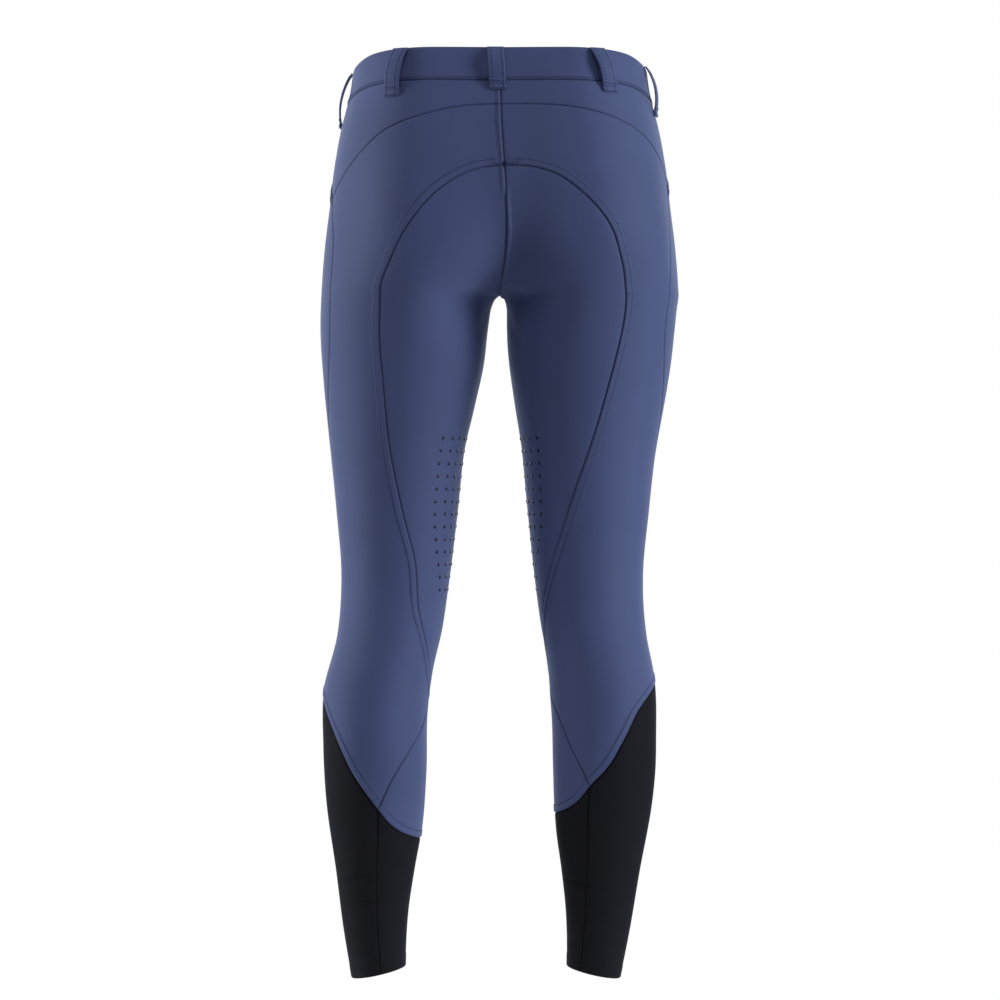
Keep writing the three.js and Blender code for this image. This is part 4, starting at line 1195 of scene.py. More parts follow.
# %% Main panels
cloth_pieces = {}
for side in SIDES:
    s = seams[side]
    mouth_side = STEPS["band_pocket"] * FINE
    upper_middle = rise("yBack", s["band_back"][-1, 1], s["yoke"][0, 1], STEPS["yoke_side"])
    point = np.repeat(s["arch"][-1:], len(s["under_seat"]), 0)
    back_welt = welt(side == "left")
    made = {
        "yoke": panel_between(
            "yoke_" + side + "_cloth", side, 34, 10,
            top=[(round_back(s["band_back"]), plain_edge)],
            bottom=[(s["yoke"][::-1], plain_edge)],
            left=[(round_back(s["side_upper"]), plain_edge)],
            right=[(upper_middle, back_welt)]),
        "pocket_bearer": panel_between(
            "pocket_bearer_" + side + "_cloth", side, 8, 8,
            top=[(s["band_pocket"], plain_edge)],
            bottom=[(s["mouth"][mouth_side:], bearer_edge)],
            left=[(s["mouth"][:mouth_side + 1], bearer_edge)],
            right=[(s["side_upper"], plain_edge)]),
        "front_panel": panel_between(
            "front_panel_" + side + "_cloth", side, 52, 130,
            top=[(s["band_front"], plain_edge), (s["mouth"], pocket_edge)],
            bottom=[(s["hem_front"], hem_edge)],
            left=[(s["middle_front"], plain_edge), (joined(s["inner"], s["calf"]), plain_edge)],
            right=[(s["side_lower"], plain_edge)]),
        "back_panel": panel_between(
            "back_panel_" + side + "_cloth", side, 40, 130, right_pace=0.7,
            top=[(s["yoke"][::-1], plain_edge)],
            bottom=[(s["hem_back"][::-1], hem_edge)],
            left=[(round_back(s["side_lower"]), plain_edge)],
            right=[(s["middle_back"], back_welt), (s["arch"], raised_edge), (s["calf"], plain_edge)]),
        "seat_panel": panel_between(
            "seat_panel_" + side + "_cloth", side, 34, 110,
            top=[(s["under_seat"], back_welt)],
            bottom=[(point, no_edge)],
            left=[(s["arch"], plain_edge)],
            right=[(s["inner"], plain_edge)]),
    }
    for kind, mesh in made.items():
        node = kind + "_" + side
        cloth_pieces[node] = show(mesh.name, mesh, brushed_stretch_knit, node)
        print(node, len(mesh.polygons), "faces", {k: round(v, 3) for k, v in CUTS[mesh.name].items()})

# %% [markdown]
# ## Waistband
# The waistband is a double band, cut in two halves that meet at the middle back, where a belt
# loop covers the join, and at the front button. It follows the body's slope, lower in front.
# Its rows are level copies of its bottom edge, so it needs no blending between seams. The top
# edge is a fold, which rolls over smoothly, and a row of stitches holds the bottom edge.

# %% Waistband halves
def band_places(s, t):
    """Places on the band: s from middle front to middle back, t from the top edge down."""
    edge_z = read(WAIST_EDGE, s)[..., 1]
    return along_band(read(WAIST_SHARE, s)[..., 0], edge_z + BAND_HEIGHT * (1 - t))


def fold_edge(d, z):
    return -1.0 * bump_at(d, 0.9) - 0.25 * bump_at(d, 2.4)


def band_foot_edge(d, z):
    return -0.9 * bump_at(d, 0.7) - 0.14 * bump_at(d - 2.4, 0.6)


for side in SIDES:
    s = seams[side]
    WAIST_EDGE = joined(s["band_front"], s["band_pocket"], s["band_back"])
    WAIST_SHARE = joined(*[np.stack([shares, 0 * shares], 1) for shares in s["band_shares"]])
    places = lay_out(band_places, 110, 8, dict(top=True, bottom=True, left=True, right=True))
    ends = [band_places(np.full(33, float(k)), np.linspace(0, 1, 33)) for k in (0, 1)]
    top_line = band_places(np.linspace(0, 1, 400), np.zeros(400))
    mesh = sewn_panel("waistband_" + side + "_cloth", side, places,
                      dict(top=[(top_line, fold_edge)], bottom=[(WAIST_EDGE, band_foot_edge)],
                           left=[(ends[0], plain_edge)], right=[(ends[1], plain_edge)]),
                      proud=BAND_PROUD, cloth=BAND_CLOTH)
    cloth_pieces["waistband_" + side] = show(mesh.name, mesh, brushed_stretch_knit,
                                             "waistband_" + side)
    print(mesh.name, {k: round(v, 3) for k, v in CUTS[mesh.name].items()})

# %% [markdown]
# ## Cuffs
# Below the slanting hem the leg ends in a cuff of thin near-black jersey that lies flat inside
# a boot. It is one piece with a seam up the back. The hem of the main cloth lies on it, so the
# cuff is carried a few millimetres up underneath, where it dips below the cloth's thickness.
# That small step gives the shadow under the hem without any trick in the material.

# %% Cuff tubes
UNDER_HEM = 5.0
CUFF_HEM = 12.0


def cuff_places_of(side):
    """Places on the cuff by share round from its back seam and share down from under the hem."""
    s = seams[side]
    top = joined(round_back(s["hem_front"]), s["hem_back"][::-1])
    share_of = lambda places: places[..., 0] / even_girth(places[..., 1])
    ankle_z = (ANKLE_OUTER_Z + ANKLE_INNER_Z) / 2
    ankle_girth = even_girth(ankle_z)
    turned = across_back(CUFF_SEAM_X[side], ankle_z)[0] / ankle_girth - share_of(s["hem_back"][0])
    inner = float(track(inner_leg, "x", ankle_z, from_crotch))
    outer = float(track(rings, "xOut", ankle_z))

    def places(s, t):
        head = read(top, s)
        share = share_of(head)
        x = surface((share + turned) * ankle_girth, np.full_like(share, ankle_z))[..., 0]
        foot_z = ANKLE_INNER_Z + (ANKLE_OUTER_Z - ANKLE_INNER_Z) * (x - inner) / (outer - inner)
        z = head[..., 1] + UNDER_HEM + (foot_z - head[..., 1] - UNDER_HEM) * t
        below = (head[..., 1] - z) / (head[..., 1] - foot_z)
        return np.stack([(share + turned * below) * even_girth(z), z], -1)

    return places, top


def cuff_seam_edge(d, z):
    return -0.65 * bump_at(d, 0.8)


def cuff_hem_edge(d, z):
    band = 0.35 * (1 - smooth_step(CUFF_HEM, CUFF_HEM + 1.5, d))
    return band - 0.6 * bump_at(d, 0.5) - 0.25 * bump_at(d - CUFF_HEM, 0.7)


for side in SIDES:
    places_at, hem_line = cuff_places_of(side)
    places = lay_out(places_at, 170, 90, dict(top=True, bottom=True, left=True, right=True))
    down = np.linspace(0, 1, 200)
    ends = [places_at(np.full(200, float(k)), down) for k in (0, 1)]
    foot_line = places_at(np.linspace(0, 1, 400), np.ones(400))
    head_z = places_at(np.linspace(0, 1, 400), np.zeros(400))
    points = surface(places[..., 0], places[..., 1])
    # Height above or below the hem, in millimetres, positive below
    run = surface(hem_line[:, 0], hem_line[:, 1])
    gap = distance_to_line(points[:34].reshape(-1, 3), run).reshape(34, -1)
    below_hem = np.full(places.shape[:2], 50.0)
    hem_row = np.abs(gap).argmin(0)
    above = np.arange(34)[:, None] < hem_row[None]
    below_hem[:34] = np.where(above, -gap, gap)
    lift = -1.55 * (1 - smooth_step(-0.4, 3.0, below_hem))
    mesh = sewn_panel("cuff_" + side + "_cloth", side, places,
                      dict(top=[], bottom=[(foot_line, cuff_hem_edge)],
                           left=[(ends[0], cuff_seam_edge)], right=[(ends[1], cuff_seam_edge)]),
                      lift=lift, proud=-CUFF_SUNK, cloth=CUFF_CLOTH,
                      folds=crease_lines(cuff_creases, side))
    cloth_pieces["cuff_" + side] = show(mesh.name, mesh, fine_stretch_jersey, "cuff_" + side)
    print(mesh.name, len(mesh.polygons), {k: round(v, 3) for k, v in CUTS[mesh.name].items()})

# %% [markdown]
# ## Belt loops
# Seven loops are cut from the main cloth, folded to a strip 17 mm wide and stitched near both
# edges. Each is sewn in at the band's top edge and below the band, and stands off between, so
# that daylight shows behind the ones at the sides. The foot is folded under, which doubles it.
# The strip is a shell swept along its own bow, with rolled long edges.

# %% Loop strips
belt_loops = {
    # name: side, distance from the middle back, lean outwards on the way down, drop below the band
    "loop_back": ("left", 5, -3, 9.5),
    "loop_back_left": ("left", 105, 3, 15),
    "loop_back_right": ("right", 102, 9, 11),
    "loop_side_left": ("left", 220, 0, 23),
    "loop_side_right": ("right", 195, 3, 17.5),
    "loop_front_left": ("left", 345, 0, 12),
    "loop_front_right": ("right", 345, 0, 12),
}
LOOP_WIDTH, LOOP_CLOTH, LOOP_CLEAR, LOOP_SEAT, LOOP_BELOW = 17, 1.6, 6.6, 0.35, 0.3
LOOP_STITCH = 3.2


def from_middle_back(share, offset, z):
    """Points and outward directions at a share of the way round from the middle back, and a
    distance to one side, on whichever half that falls."""
    length, _, back_gap = girths(z)
    distance = share * length + offset
    a = -back_gap - np.abs(distance)
    point = measured_surface(a, z)
    step = 0.5
    along = point - measured_surface(a - step, z)
    up = measured_surface(a, z + step) - point
    direction = np.cross(along, up)
    direction /= np.linalg.norm(direction, axis=-1, keepdims=True)
    other = np.where(distance < 0, -1.0, 1.0)
    point[..., 0] *= other
    direction[..., 0] *= other
    return point, direction


def loop_frame(name, t, across):
    """Points on the mid-line of a loop's underside: t from 0 at the top to 1 at the foot."""
    side, from_back, lean, drop = belt_loops[name]
    share = from_back / girths(0)[0]
    edge_z = band_edge(1 - share)[0, 1]
    top_z, foot_z = edge_z + BAND_HEIGHT - LOOP_BELOW, edge_z - drop
    bow = np.sin(np.pi * np.clip((t - 0.02) / 0.88, 0, 1))**0.7
    z = top_z + (foot_z - top_z) * t
    point, _ = from_middle_back(share, lean * t + across, z)
    _, direction = from_middle_back(share, lean * t, z)
    return point, direction, BAND_PROUD + LOOP_SEAT + LOOP_CLEAR * bow, abs(top_z - foot_z)


def loop_face(t, across, length):
    """How the strip's face swells and dips: rolled edges, two stitch grooves, a doubled foot."""
    side_gap = LOOP_WIDTH / 2 - np.abs(across)
    foot_gap = (1 - t) * length
    groove = 0.35 * bump_at(side_gap - LOOP_STITCH, 0.55)
    doubled = 0.8 * (1 - smooth_step(8.0, 9.4, foot_gap))
    rolled = 0.75 * bump_at(side_gap, 0.7) + 0.8 * bump_at(foot_gap, 0.7)
    return doubled - groove - rolled


for name, (side, *_rest) in belt_loops.items():
    half = LOOP_WIDTH / 2
    edge = np.array([0, 0.25, 0.6, 1.2, 1.9, 2.6, 3.2, 3.8, 4.5])
    across_line = np.concatenate([half - edge, np.linspace(half - 5.2, -half + 5.2, 5), (edge - half)[::-1]])
    t_line = np.concatenate([np.linspace(0, 0.76, 40), np.linspace(0.78, 0.985, 22), [0.99, 0.995, 1.0]])
    across, t = np.meshgrid(across_line, t_line)
    point, direction, lift, length = loop_frame(name, t, across)
    face = loop_face(t, across, length)
    outer = point + direction * (lift + LOOP_CLOTH + face)[..., None]
    inner = point + direction * lift[..., None]
    places = np.stack([across, -t * length], -1)
    # Painted shade along the loop's rolled edges and folded foot
    seam = np.maximum(bump_at(half - np.abs(across), 0.6), bump_at((1 - t) * length, 0.8)) * 0.8
    mesh = shell_mesh(name + "_cloth", hang(outer, side), hang(inner, side), places, seam, False)
    turn_outwards(mesh)
    CUTS[mesh.name] = {"area": mesh_area(mesh) / 2, "width": LOOP_WIDTH * MM, "height": length * MM}
    cloth_pieces[name] = show(mesh.name, mesh, brushed_stretch_knit, name)
    print(mesh.name, {k: round(v, 4) for k, v in CUTS[mesh.name].items()})

# %% [markdown]
# ## Waist button
# The band closes at the front with a dished metal button on the wearer's right end, the kind
# that is pressed from sheet brass and plated dark. It is a turned shape, so its outline is
# spun round the axis that stands out of the cloth there.

# %% Button
BUTTON_RADIUS, BUTTON_RIM, BUTTON_HIGH, BUTTON_DISH = 8, 6.2, 2.6, 0.7
BUTTON_FROM_MIDDLE, BUTTON_SEAT, BUTTON_SIDES = 14, 0.3, 64

button_outline = [
    # radius, height
    (0.0, 0.0), (7.4, 0.0), (7.8, 0.15), (8.0, 0.5), (8.0, 1.7), (7.9, 2.15), (7.6, 2.45),
    (7.2, 2.58), (6.8, 2.6), (6.4, 2.5), (6.1, 2.25), (5.8, 2.0), (5.4, 1.92), (3.4, 1.9),
    (3.0, 1.95), (2.6, 2.15), (2.0, 2.25), (0.0, 2.3),
]
button_z = float(band_edge(0)[0, 1]) + BAND_HEIGHT / 2
button_a = across_front(BUTTON_FROM_MIDDLE, button_z)[0]
button_place = surface(np.array([button_a]), np.array([button_z]))[0]
button_out = outward_at(np.array([button_a]), np.array([button_z]))[0]
button_place = button_place + button_out * (BAND_PROUD + BUTTON_SEAT)
turn = Vector((0, 0, 1)).rotation_difference(Vector(button_out * (-1, 1, 1)))
centre = Vector(button_place * (-1, 1, 1))
verts, faces = [], []
for k in range(BUTTON_SIDES):
    angle = 2 * math.pi * k / BUTTON_SIDES
    for radius, high in button_outline:
        spot = turn @ Vector((radius * math.cos(angle), radius * math.sin(angle), high)) + centre
        verts.append(spot * MM)
count = len(button_outline)
for k in range(BUTTON_SIDES):
    near, far = k * count, (k + 1) % BUTTON_SIDES * count
    faces += [(near + n, far + n, far + n + 1, near + n + 1) for n in range(count - 1)]
button_mesh = bpy.data.meshes.new("waist_button_metal")
button_mesh.from_pydata(verts, [], faces)
turn_outwards(button_mesh)
for polygon in button_mesh.polygons:
    polygon.use_smooth = True

# Brass plated to a dark gunmetal: a mirror under fine wear, so half sharp and slightly cloudy
plated_brass, tree = new_material("gunmetal_plated_brass")
place = add_node(tree, "ShaderNodeTexCoord")
wear = add_node(tree, "ShaderNodeTexNoise", Vector=place.outputs["Object"], Scale=900, Detail=4)
haze = add_node(tree, "ShaderNodeMapRange", Value=wear.outputs["Fac"])
haze.inputs["To Min"].default_value = 0.26
haze.inputs["To Max"].default_value = 0.46
metal = add_node(tree, "ShaderNodeBsdfPrincipled", Base_Color=linear("#5B5E66"), Metallic=1.0,
                 Roughness=haze.outputs["Result"])
add_node(tree, "ShaderNodeOutputMaterial", Surface=metal.outputs["BSDF"])
show("waist_button_metal", button_mesh, plated_brass, "waist_button")
print("button faces", len(button_mesh.polygons))

# %% [markdown]
# ## Rows of stitches
# Topstitching shows as rows of small dents with a thread lying in each. The rows are laid out
# first, as lines on the cloth that keep their distance from a seam, each point with the
# direction that is outwards there. Geometry Nodes then set one stitch after another along every
# row. A stitch is a small round-ended bead, thick in the middle where the thread bulges and
# thin where it dives through the cloth. The same tree makes bar tacks, where the thread
# crosses a short bar many times, from wide stitches set close together.

# %% Laying out the rows
def beside(line, distance, towards):
    """Places at a steady distance from a line of places, on the side of the given place."""
    a, z = line[:, 0], line[:, 1]
    here, out = surface(a, z), outward_at(a, z)
    along = np.gradient(here, axis=0)
    along /= np.maximum(np.linalg.norm(along, axis=1, keepdims=True), 1e-9)
    sideways = np.cross(out, along)
    # How the point moves with a and with z, taken on the side away from the middle seam
    away = inwards_from_middle(a, z)
    by_a = (surface(a + away * 0.5, z) - here) * (away / 0.5)[:, None]
    by_z = (surface(a, z + 0.5) - here) / 0.5
    aa, az, zz = (by_a * by_a).sum(1), (by_a * by_z).sum(1), (by_z * by_z).sum(1)
    sa, sz = (by_a * sideways).sum(1), (by_z * sideways).sum(1)
    change = np.stack([zz * sa - az * sz, aa * sz - az * sa], 1) / (aa * zz - az**2)[:, None]
    # Short beside the far end of the girth, so the nearer turn of the given place is used
    reach = np.array(towards, float) - line.mean(0)
    reach[0] = (reach[0] + even_girth(z.mean()) / 2) % even_girth(z.mean()) - even_girth(z.mean()) / 2
    sign = np.sign((change.mean(0) * reach).sum())
    return line + sign * distance * change


def laid_on(places, side, lift, folds=None):
    """A row of places as points and outward directions on the finished cloth, in metres."""
    out = outward_at(places[:, 0], places[:, 1])
    height = lift + crease_height(creases_of[side] if folds is None else folds, places)
    points = surface(places[:, 0], places[:, 1]) + out * height[:, None]
    return hang(points, side), out * ((1 if side == "left" else -1), 1, 1)


def part_of(line, start, end):
    """The stretch of a line between two shares of its length."""
    steps = np.linalg.norm(np.diff(line, axis=0), axis=1)
    share = np.concatenate([[0], np.cumsum(steps)]) / steps.sum()
    at = np.linspace(start, end, max(12, int(len(line) * (end - start))))
    return np.stack([np.interp(at, share, column) for column in line.T], 1)


def rows_mesh(name, rows):
    """All rows as one mesh of lines, with the outward direction stored at each point."""
    verts, edges, outward = [], [], []
    for points, out in rows:
        edges += [(len(verts) + n, len(verts) + n + 1) for n in range(len(points) - 1)]
        verts += points.tolist()
        outward += out.tolist()
    mesh = bpy.data.meshes.new(name)
    mesh.from_pydata(verts, edges, [])
    stored = mesh.attributes.new("outward", "FLOAT_VECTOR", "POINT")
    stored.data.foreach_set("vector", np.array(outward, float).ravel())
    return mesh


# %% The stitch tree
def new_tree(name, inputs):
    """An empty geometry tree with named inputs, and its two end nodes."""
    tree = bpy.data.node_groups.new(name, "GeometryNodeTree")
    for label, kind in inputs:
        tree.interface.new_socket(label, in_out="INPUT", socket_type=kind)
    tree.interface.new_socket("Result", in_out="OUTPUT", socket_type="NodeSocketGeometry")
    return tree, add_node(tree, "NodeGroupInput").outputs


def stand_on_rows(tree, points, bead, size, direction, seed):
    """Sets a bead at every point, upright on the cloth, turned along a direction, each a little
    different in size."""
    outward = add_node(tree, "GeometryNodeInputNamedAttribute", {"data_type": "FLOAT_VECTOR"},
                       Name="outward")
    turned = add_node(tree, "FunctionNodeAxesToRotation", {"primary_axis": "Z", "secondary_axis": "X"},
                      Primary_Axis=outward.outputs["Attribute"], Secondary_Axis=direction)
    varied = add_node(tree, "FunctionNodeRandomValue", {"data_type": "FLOAT_VECTOR"},
                      _0=(0.93, 0.9, 0.88), _1=(1.05, 1.1, 1.12), Seed=seed)
    scaled = add_node(tree, "ShaderNodeVectorMath", {"operation": "MULTIPLY"}, _0=size,
                      _1=varied.outputs["Value"])
    return add_node(tree, "GeometryNodeInstanceOnPoints", Points=points, Instance=bead,
                    Rotation=turned.outputs["Rotation"], Scale=scaled.outputs["Vector"]).outputs["Instances"]


def finish_tree(tree, instances, material):
    real = add_node(tree, "GeometryNodeRealizeInstances", Geometry=instances)
    smooth = add_node(tree, "GeometryNodeSetShadeSmooth", Geometry=real.outputs["Geometry"])
    finished = add_node(tree, "GeometryNodeSetMaterial", Geometry=smooth.outputs["Geometry"],
                        Material=material)
    add_node(tree, "NodeGroupOutput", Result=finished.outputs["Geometry"])


def grown(name, base, tree, **values):
    """What a tree grows on a base mesh, kept as a plain mesh."""
    carrier = bpy.data.objects.new(name + "_base", base)
    bpy.context.scene.collection.objects.link(carrier)
    modifier = carrier.modifiers.new("grow", "NODES")
    modifier.node_group = tree
    for socket in tree.interface.items_tree:
        if socket.in_out == "INPUT" and socket.name in values:
            modifier[socket.identifier] = values[socket.name]
    bpy.context.view_layer.update()
    evaluated = carrier.evaluated_get(bpy.context.evaluated_depsgraph_get())
    mesh = bpy.data.meshes.new_from_object(evaluated)
    mesh.name = name
    bpy.data.objects.remove(carrier)
    return mesh


stitch_tree, given = new_tree("stitches_along_rows", [
    ("Rows", "NodeSocketGeometry"), ("Spacing", "NodeSocketFloat"), ("Size", "NodeSocketVector"),
    ("Seed", "NodeSocketInt"), ("Thread", "NodeSocketMaterial")])
row_curves = add_node(stitch_tree, "GeometryNodeMeshToCurve", Mesh=given["Rows"])
spaced = add_node(stitch_tree, "GeometryNodeResampleCurve", {"mode": "LENGTH"},
                  Curve=row_curves.outputs["Curve"], Length=given["Spacing"])
bead = add_node(stitch_tree, "GeometryNodeMeshUVSphere", Segments=8, Rings=5, Radius=0.5)
tangent = add_node(stitch_tree, "GeometryNodeInputTangent")
finish_tree(stitch_tree, stand_on_rows(stitch_tree, spaced.outputs["Curve"], bead.outputs["Mesh"],
                                       given["Size"], tangent.outputs["Tangent"], given["Seed"]),
            given["Thread"])
print("stitch tree", len(stitch_tree.nodes), "nodes")

# %% [markdown]
# ## Thread
# Sewing thread is spun polyester: matt, with a slight gloss along the twist. Its plies are
# thinner than a pixel here, so a fine wave across each stitch is enough to keep it from looking
# like plastic. On the main cloth it is drawn much darker than the cloth: partly its own navy,
# partly painted shade standing in for the dents the stitches sink into. On the cuffs it is
# nearly black.

# %% Thread materials
def thread_material(name, colour, light):
    material, tree = new_material(name)
    place = add_node(tree, "ShaderNodeTexCoord")
    twist = add_node(tree, "ShaderNodeTexWave", {"bands_direction": "DIAGONAL"},
                     Vector=place.outputs["Object"], Scale=wave_scale(0.0004), Distortion=1.5)
    hair = add_node(tree, "ShaderNodeTexNoise", Vector=place.outputs["Object"], Scale=2500, Detail=2)
    tone = add_node(tree, "ShaderNodeMix", {"data_type": "RGBA"}, _0=hair.outputs["Fac"],
                    _6=linear(colour), _7=linear(light))
    bump = add_node(tree, "ShaderNodeBump", Strength=0.5, Distance=0.0001, Height=twist.outputs["Fac"])
    thread = add_node(tree, "ShaderNodeBsdfPrincipled", Base_Color=tone.outputs[2], Roughness=0.7,
                      IOR=1.5, Specular_IOR_Level=0.3, Normal=bump.outputs["Normal"])
    add_node(tree, "ShaderNodeOutputMaterial", Surface=thread.outputs["BSDF"])
    return material


# Navy thread drawn darker than its own colour: painted shade of the stitch dents
navy_thread_and_dent_shade = thread_material("spun_polyester_thread", "#141A38", "#2A3564")
dark_thread = thread_material("spun_polyester_thread_dark", "#040407", "#0A0B12")

# %% Where the rows run
STITCH_SPACING, STITCH_SIZE = 3.3, (2.2, 0.9, 0.75)
TACK_SPACING, TACK_SIZE = 0.55, (0.6, 2.4, 0.7)
FLY_LINE = [(34, -22), (34.5, -80), (33.5, -125), (28, -150), (15, -166), (3, -172)]

main_rows, tack_rows, cuff_rows = [], [], []
for side in SIDES:
    s = seams[side]
    far_side = round_back(s["side_lower"])[len(s["side_lower"]) // 3]
    arch = part_of(beside(s["arch"], TOPSTITCH, far_side), 0.008, 0.985)
    main_rows.append(laid_on(arch, side, 0.3))
    for hem in (s["hem_front"], s["hem_back"]):
        above = hem.mean(0) + (0, 100)
        main_rows.append(laid_on(part_of(beside(hem, TOPSTITCH, above), 0.01, 0.99), side, 0.2))
    foot = joined(s["band_front"], s["band_pocket"], s["band_back"])
    above_foot = part_of(beside(foot, 2.4, foot.mean(0) + (0, 100)), 0.004, 0.996)
    main_rows.append(laid_on(above_foot, side, BAND_PROUD + 0.12))
    inside = s["mouth"].mean(0) + (-60, -60)
    for distance, lift in ((1.6, 0.75), (TOPSTITCH, 0.62)):
        row = part_of(beside(s["mouth"], distance, inside), 0.02, 0.98)
        main_rows.append(laid_on(row, side, lift))
    for start, end in ((0.01, 0.06), (0.94, 0.99)):
        tack = part_of(beside(s["mouth"], 4.2, inside), start, end)
        tack_rows.append(laid_on(tack, side, 0.9))
    places_at, _ = cuff_places_of(side)
    cuff_foot = places_at(np.linspace(0, 1, 400), np.ones(400))
    cuff_rows.append(laid_on(beside(cuff_foot, CUFF_HEM, cuff_foot.mean(0) + (0, 100)), side,
                             0.0 - CUFF_SUNK, crease_lines(cuff_creases, side)))
fly = smooth_line([across_front(*place) for place in FLY_LINE], 200)
main_rows.append(laid_on(fly, "right", 0.3))
tack_rows.append(laid_on(part_of(fly, 0.955, 0.99), "right", 0.5))
# Inside the cloth two short tacks close the crossing of the middle back seam and the arched one
for side in SIDES:
    at, height = seams[side]["arch"][0]
    crossing = np.stack([np.full(16, at + 0.9), height + np.linspace(-3.0, 4.5, 16)], 1)
    tack_rows.append(laid_on(crossing, side, -2.6))

for name, (side, _, _, _) in belt_loops.items():
    length = loop_frame(name, np.zeros(1), np.zeros(1))[3]
    down = np.linspace(0.02, 1 - 2.2 / float(np.max(length)), 60)
    lines = [(down, np.full(60, place)) for place in (LOOP_STITCH - LOOP_WIDTH / 2, LOOP_WIDTH / 2 - LOOP_STITCH)]
    width = np.linspace(LOOP_STITCH - LOOP_WIDTH / 2, LOOP_WIDTH / 2 - LOOP_STITCH, 20)
    lines.append((np.full(20, 1 - 7.2 / float(np.max(length))), width))
    for t, across in lines:
        point, direction, lift, length_here = loop_frame(name, t, across)
        top = lift + LOOP_CLOTH + loop_face(t, across, length_here) + 0.12
        flip = (1, 1, 1) if side == "left" else (-1, 1, 1)
        main_rows.append((hang(point + direction * top[:, None], side), direction * flip))

for name, rows, spacing, size, thread in (
        ("topstitching", main_rows, STITCH_SPACING, STITCH_SIZE, navy_thread_and_dent_shade),
        ("bar_tacks", tack_rows, TACK_SPACING, TACK_SIZE, navy_thread_and_dent_shade),
        ("cuff_hem_stitching", cuff_rows, STITCH_SPACING, STITCH_SIZE, dark_thread)):
    mesh = grown(name, rows_mesh(name + "_rows", rows), stitch_tree, Spacing=spacing * MM,
                 Size=[v * MM for v in size], Seed=7, Thread=thread)
    show(name, mesh, None)
    print(name, len(rows), "rows,", len(mesh.polygons), "faces")

# %% [markdown]
# ## Grip dots
# Inside each knee the cloth carries a field of clear-cut silicone beads, printed in straight
# rows, so that the leg holds on to the saddle. They are domes about 3.5 mm across with a wet
# shine, darker than the cloth because it shows through them. The rows are level and 12.9 mm
# apart, and the columns run from behind the knee's inner edge round to the front.

# %% Grip dots
GRIP_TOP, GRIP_ROWS, GRIP_ROW_PITCH = -357, 13, 12.9
GRIP_COLUMNS, GRIP_COLUMN_PITCH, GRIP_SIZE = 9, 15.0, (3.9, 3.9, 1.2)
GRIP_FRONT = 126
grip_edge = {
    # side: height, distance of the last column from the leg's inner outline
    "left": [(-357, 23.5), (-425, 23.2), (-448, 20.6), (-474, 16.0), (-500, 9.6), (-520, 7.0)],
    "right": [(-357, 16.8), (-400, 15.2), (-434, 13.3), (-448, 11.7), (-461, 8.0), (-474, 5.1),
              (-487, 2.2), (-520, 0.4)],
}
silicone, tree = new_material("printed_grip_silicone")
place = add_node(tree, "ShaderNodeTexCoord")
bloom = add_node(tree, "ShaderNodeTexNoise", Vector=place.outputs["Object"], Scale=700, Detail=3)
gloss = add_node(tree, "ShaderNodeMapRange", Value=bloom.outputs["Fac"])
gloss.inputs["To Min"].default_value = 0.2
gloss.inputs["To Max"].default_value = 0.34
tint = add_node(tree, "ShaderNodeMix", {"data_type": "RGBA"}, _0=bloom.outputs["Fac"],
                _6=linear("#0B0F22"), _7=linear("#161B36"))
rubber = add_node(tree, "ShaderNodeBsdfPrincipled", Base_Color=tint.outputs[2],
                  Roughness=gloss.outputs["Result"], IOR=1.41)
add_node(tree, "ShaderNodeOutputMaterial", Surface=rubber.outputs["BSDF"])

grip_tree, given = new_tree("dots_at_points", [
    ("Points", "NodeSocketGeometry"), ("Size", "NodeSocketVector"), ("Seed", "NodeSocketInt"),
    ("Silicone", "NodeSocketMaterial")])
dot = add_node(grip_tree, "GeometryNodeMeshUVSphere", Segments=12, Rings=7, Radius=0.5)
upwards = add_node(grip_tree, "FunctionNodeInputVector")
upwards.vector = (0, 0, 1)
finish_tree(grip_tree, stand_on_rows(grip_tree, given["Points"], dot.outputs["Mesh"], given["Size"],
                                     upwards.outputs["Vector"], given["Seed"]), given["Silicone"])

for side in SIDES:
    heights = GRIP_TOP - GRIP_ROW_PITCH * np.arange(GRIP_ROWS)
    edge_z, edge_x = np.array(sorted(grip_edge[side])).T
    inner_x = np.array([float(surface(np.zeros(1), np.array([z]))[0, 0]) for z in heights])
    start = [across_back(x + off, z)[0] for x, off, z in zip(inner_x, np.interp(heights, edge_z, edge_x), heights)]
    columns = GRIP_COLUMN_PITCH * np.arange(GRIP_COLUMNS)
    a = np.array(start)[:, None] + columns[None]
    places = np.stack([a, np.repeat(heights[:, None], GRIP_COLUMNS, 1)], -1).reshape(-1, 2)
    places = places[places[:, 0] < GRIP_FRONT + start[0]]
    mesh = grown("grip_dots_" + side, rows_mesh("grip_points", [laid_on(places, side, 0.05)]), grip_tree,
                 Size=[v * MM for v in GRIP_SIZE], Seed=3, Silicone=silicone)
    show("grip_dots_" + side, mesh, None)
    print("grip dots", side, len(places), "dots,", len(mesh.polygons), "faces, last column from",
          round(float(start[0]), 1), "mm round the back")

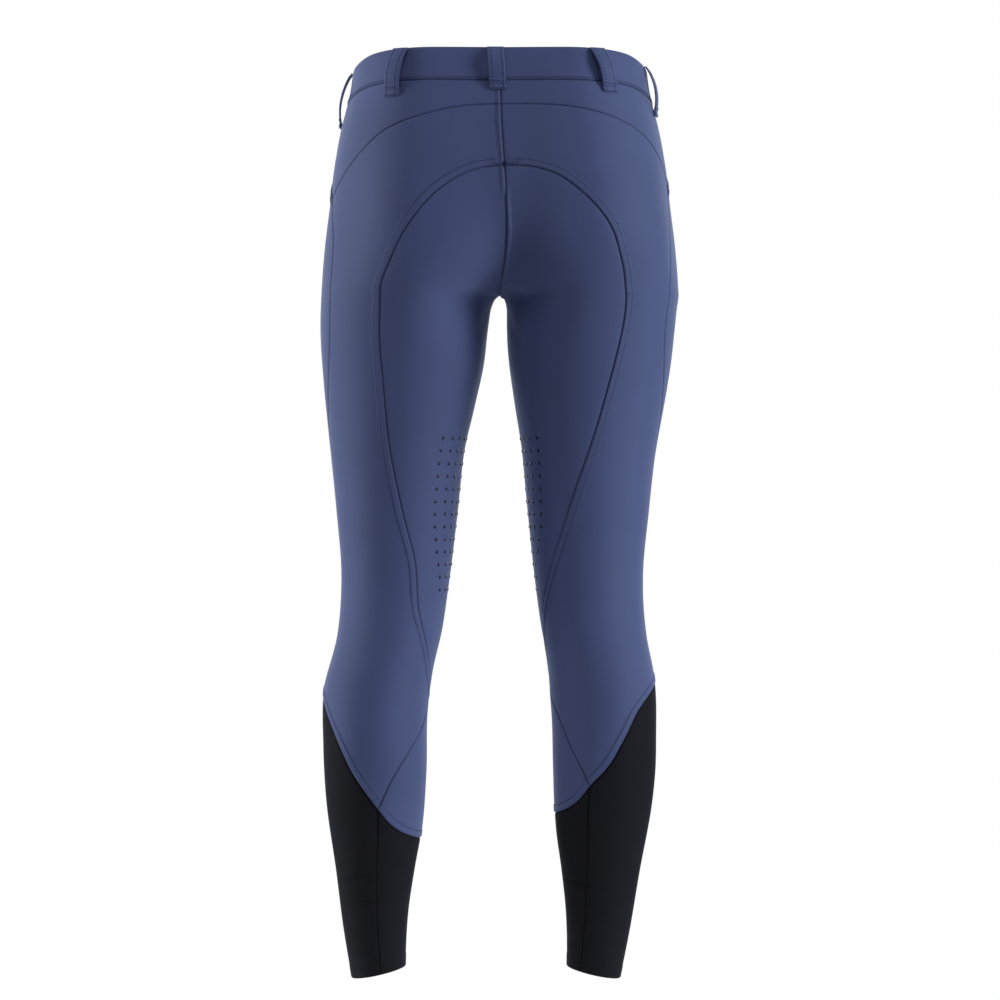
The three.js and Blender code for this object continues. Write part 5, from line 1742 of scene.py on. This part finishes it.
# %% [markdown]
# ## The cuts
# Each cloth piece is a flat cut before it is sewn and stretched over the wearer. The sizes are
# the box round the cut on the table and the cloth in it, in metres. Only what shows is counted:
# turnings, the folded half of the band and the part of a cuff under the hem come on top.

flat_cuts = {
    # node: width, length, area, what it is sewn to
    "yoke_left": (0.246, 0.113, 0.0130, ["waistband_left", "back_panel_left"]),
    "yoke_right": (0.245, 0.104, 0.0105, ["waistband_right", "back_panel_right"]),
    "pocket_bearer_left": (0.177, 0.094, 0.0060, ["front_panel_left"]),
    "pocket_bearer_right": (0.177, 0.088, 0.0053, ["front_panel_right"]),
    "front_panel_left": (0.475, 0.730, 0.1410, ["waistband_left", "back_panel_left"]),
    "front_panel_right": (0.465, 0.705, 0.1370, ["waistband_right", "back_panel_right"]),
    "back_panel_left": (0.332, 0.708, 0.0825, ["yoke_left", "front_panel_left"]),
    "back_panel_right": (0.349, 0.685, 0.0850, ["yoke_right", "front_panel_right"]),
    "seat_panel_left": (0.270, 0.535, 0.0740, ["back_panel_left", "front_panel_left"]),
    "seat_panel_right": (0.272, 0.513, 0.0680, ["back_panel_right", "front_panel_right"]),
    "waistband_left": (0.437, 0.036, 0.0157, ["yoke_left", "front_panel_left"]),
    "waistband_right": (0.437, 0.036, 0.0157, ["yoke_right", "front_panel_right"]),
    "cuff_left": (0.354, 0.306, 0.0560, ["front_panel_left", "back_panel_left"]),
    "cuff_right": (0.374, 0.318, 0.0650, ["front_panel_right", "back_panel_right"]),
}
for name, (side, _, _, drop) in belt_loops.items():
    flat_cuts[name] = (LOOP_WIDTH * MM, 0.042 + drop * MM, None, ["waistband_" + side])
for node, (width, length, area, sewn_to) in flat_cuts.items():
    measured = CUTS[cloth_pieces[node].name]["area"]
    [name + "_cloth" for name in sewn_to]
    print(node, "cloth on the wearer", round(measured, 4), "m2, cut", area or round(width * length, 5))
cloth_cut = sum(area or width * length for width, length, area, _ in flat_cuts.values())
print("cloth in all", round(cloth_cut, 3), "m2")

# %% Close
bpy.context.view_layer.update()
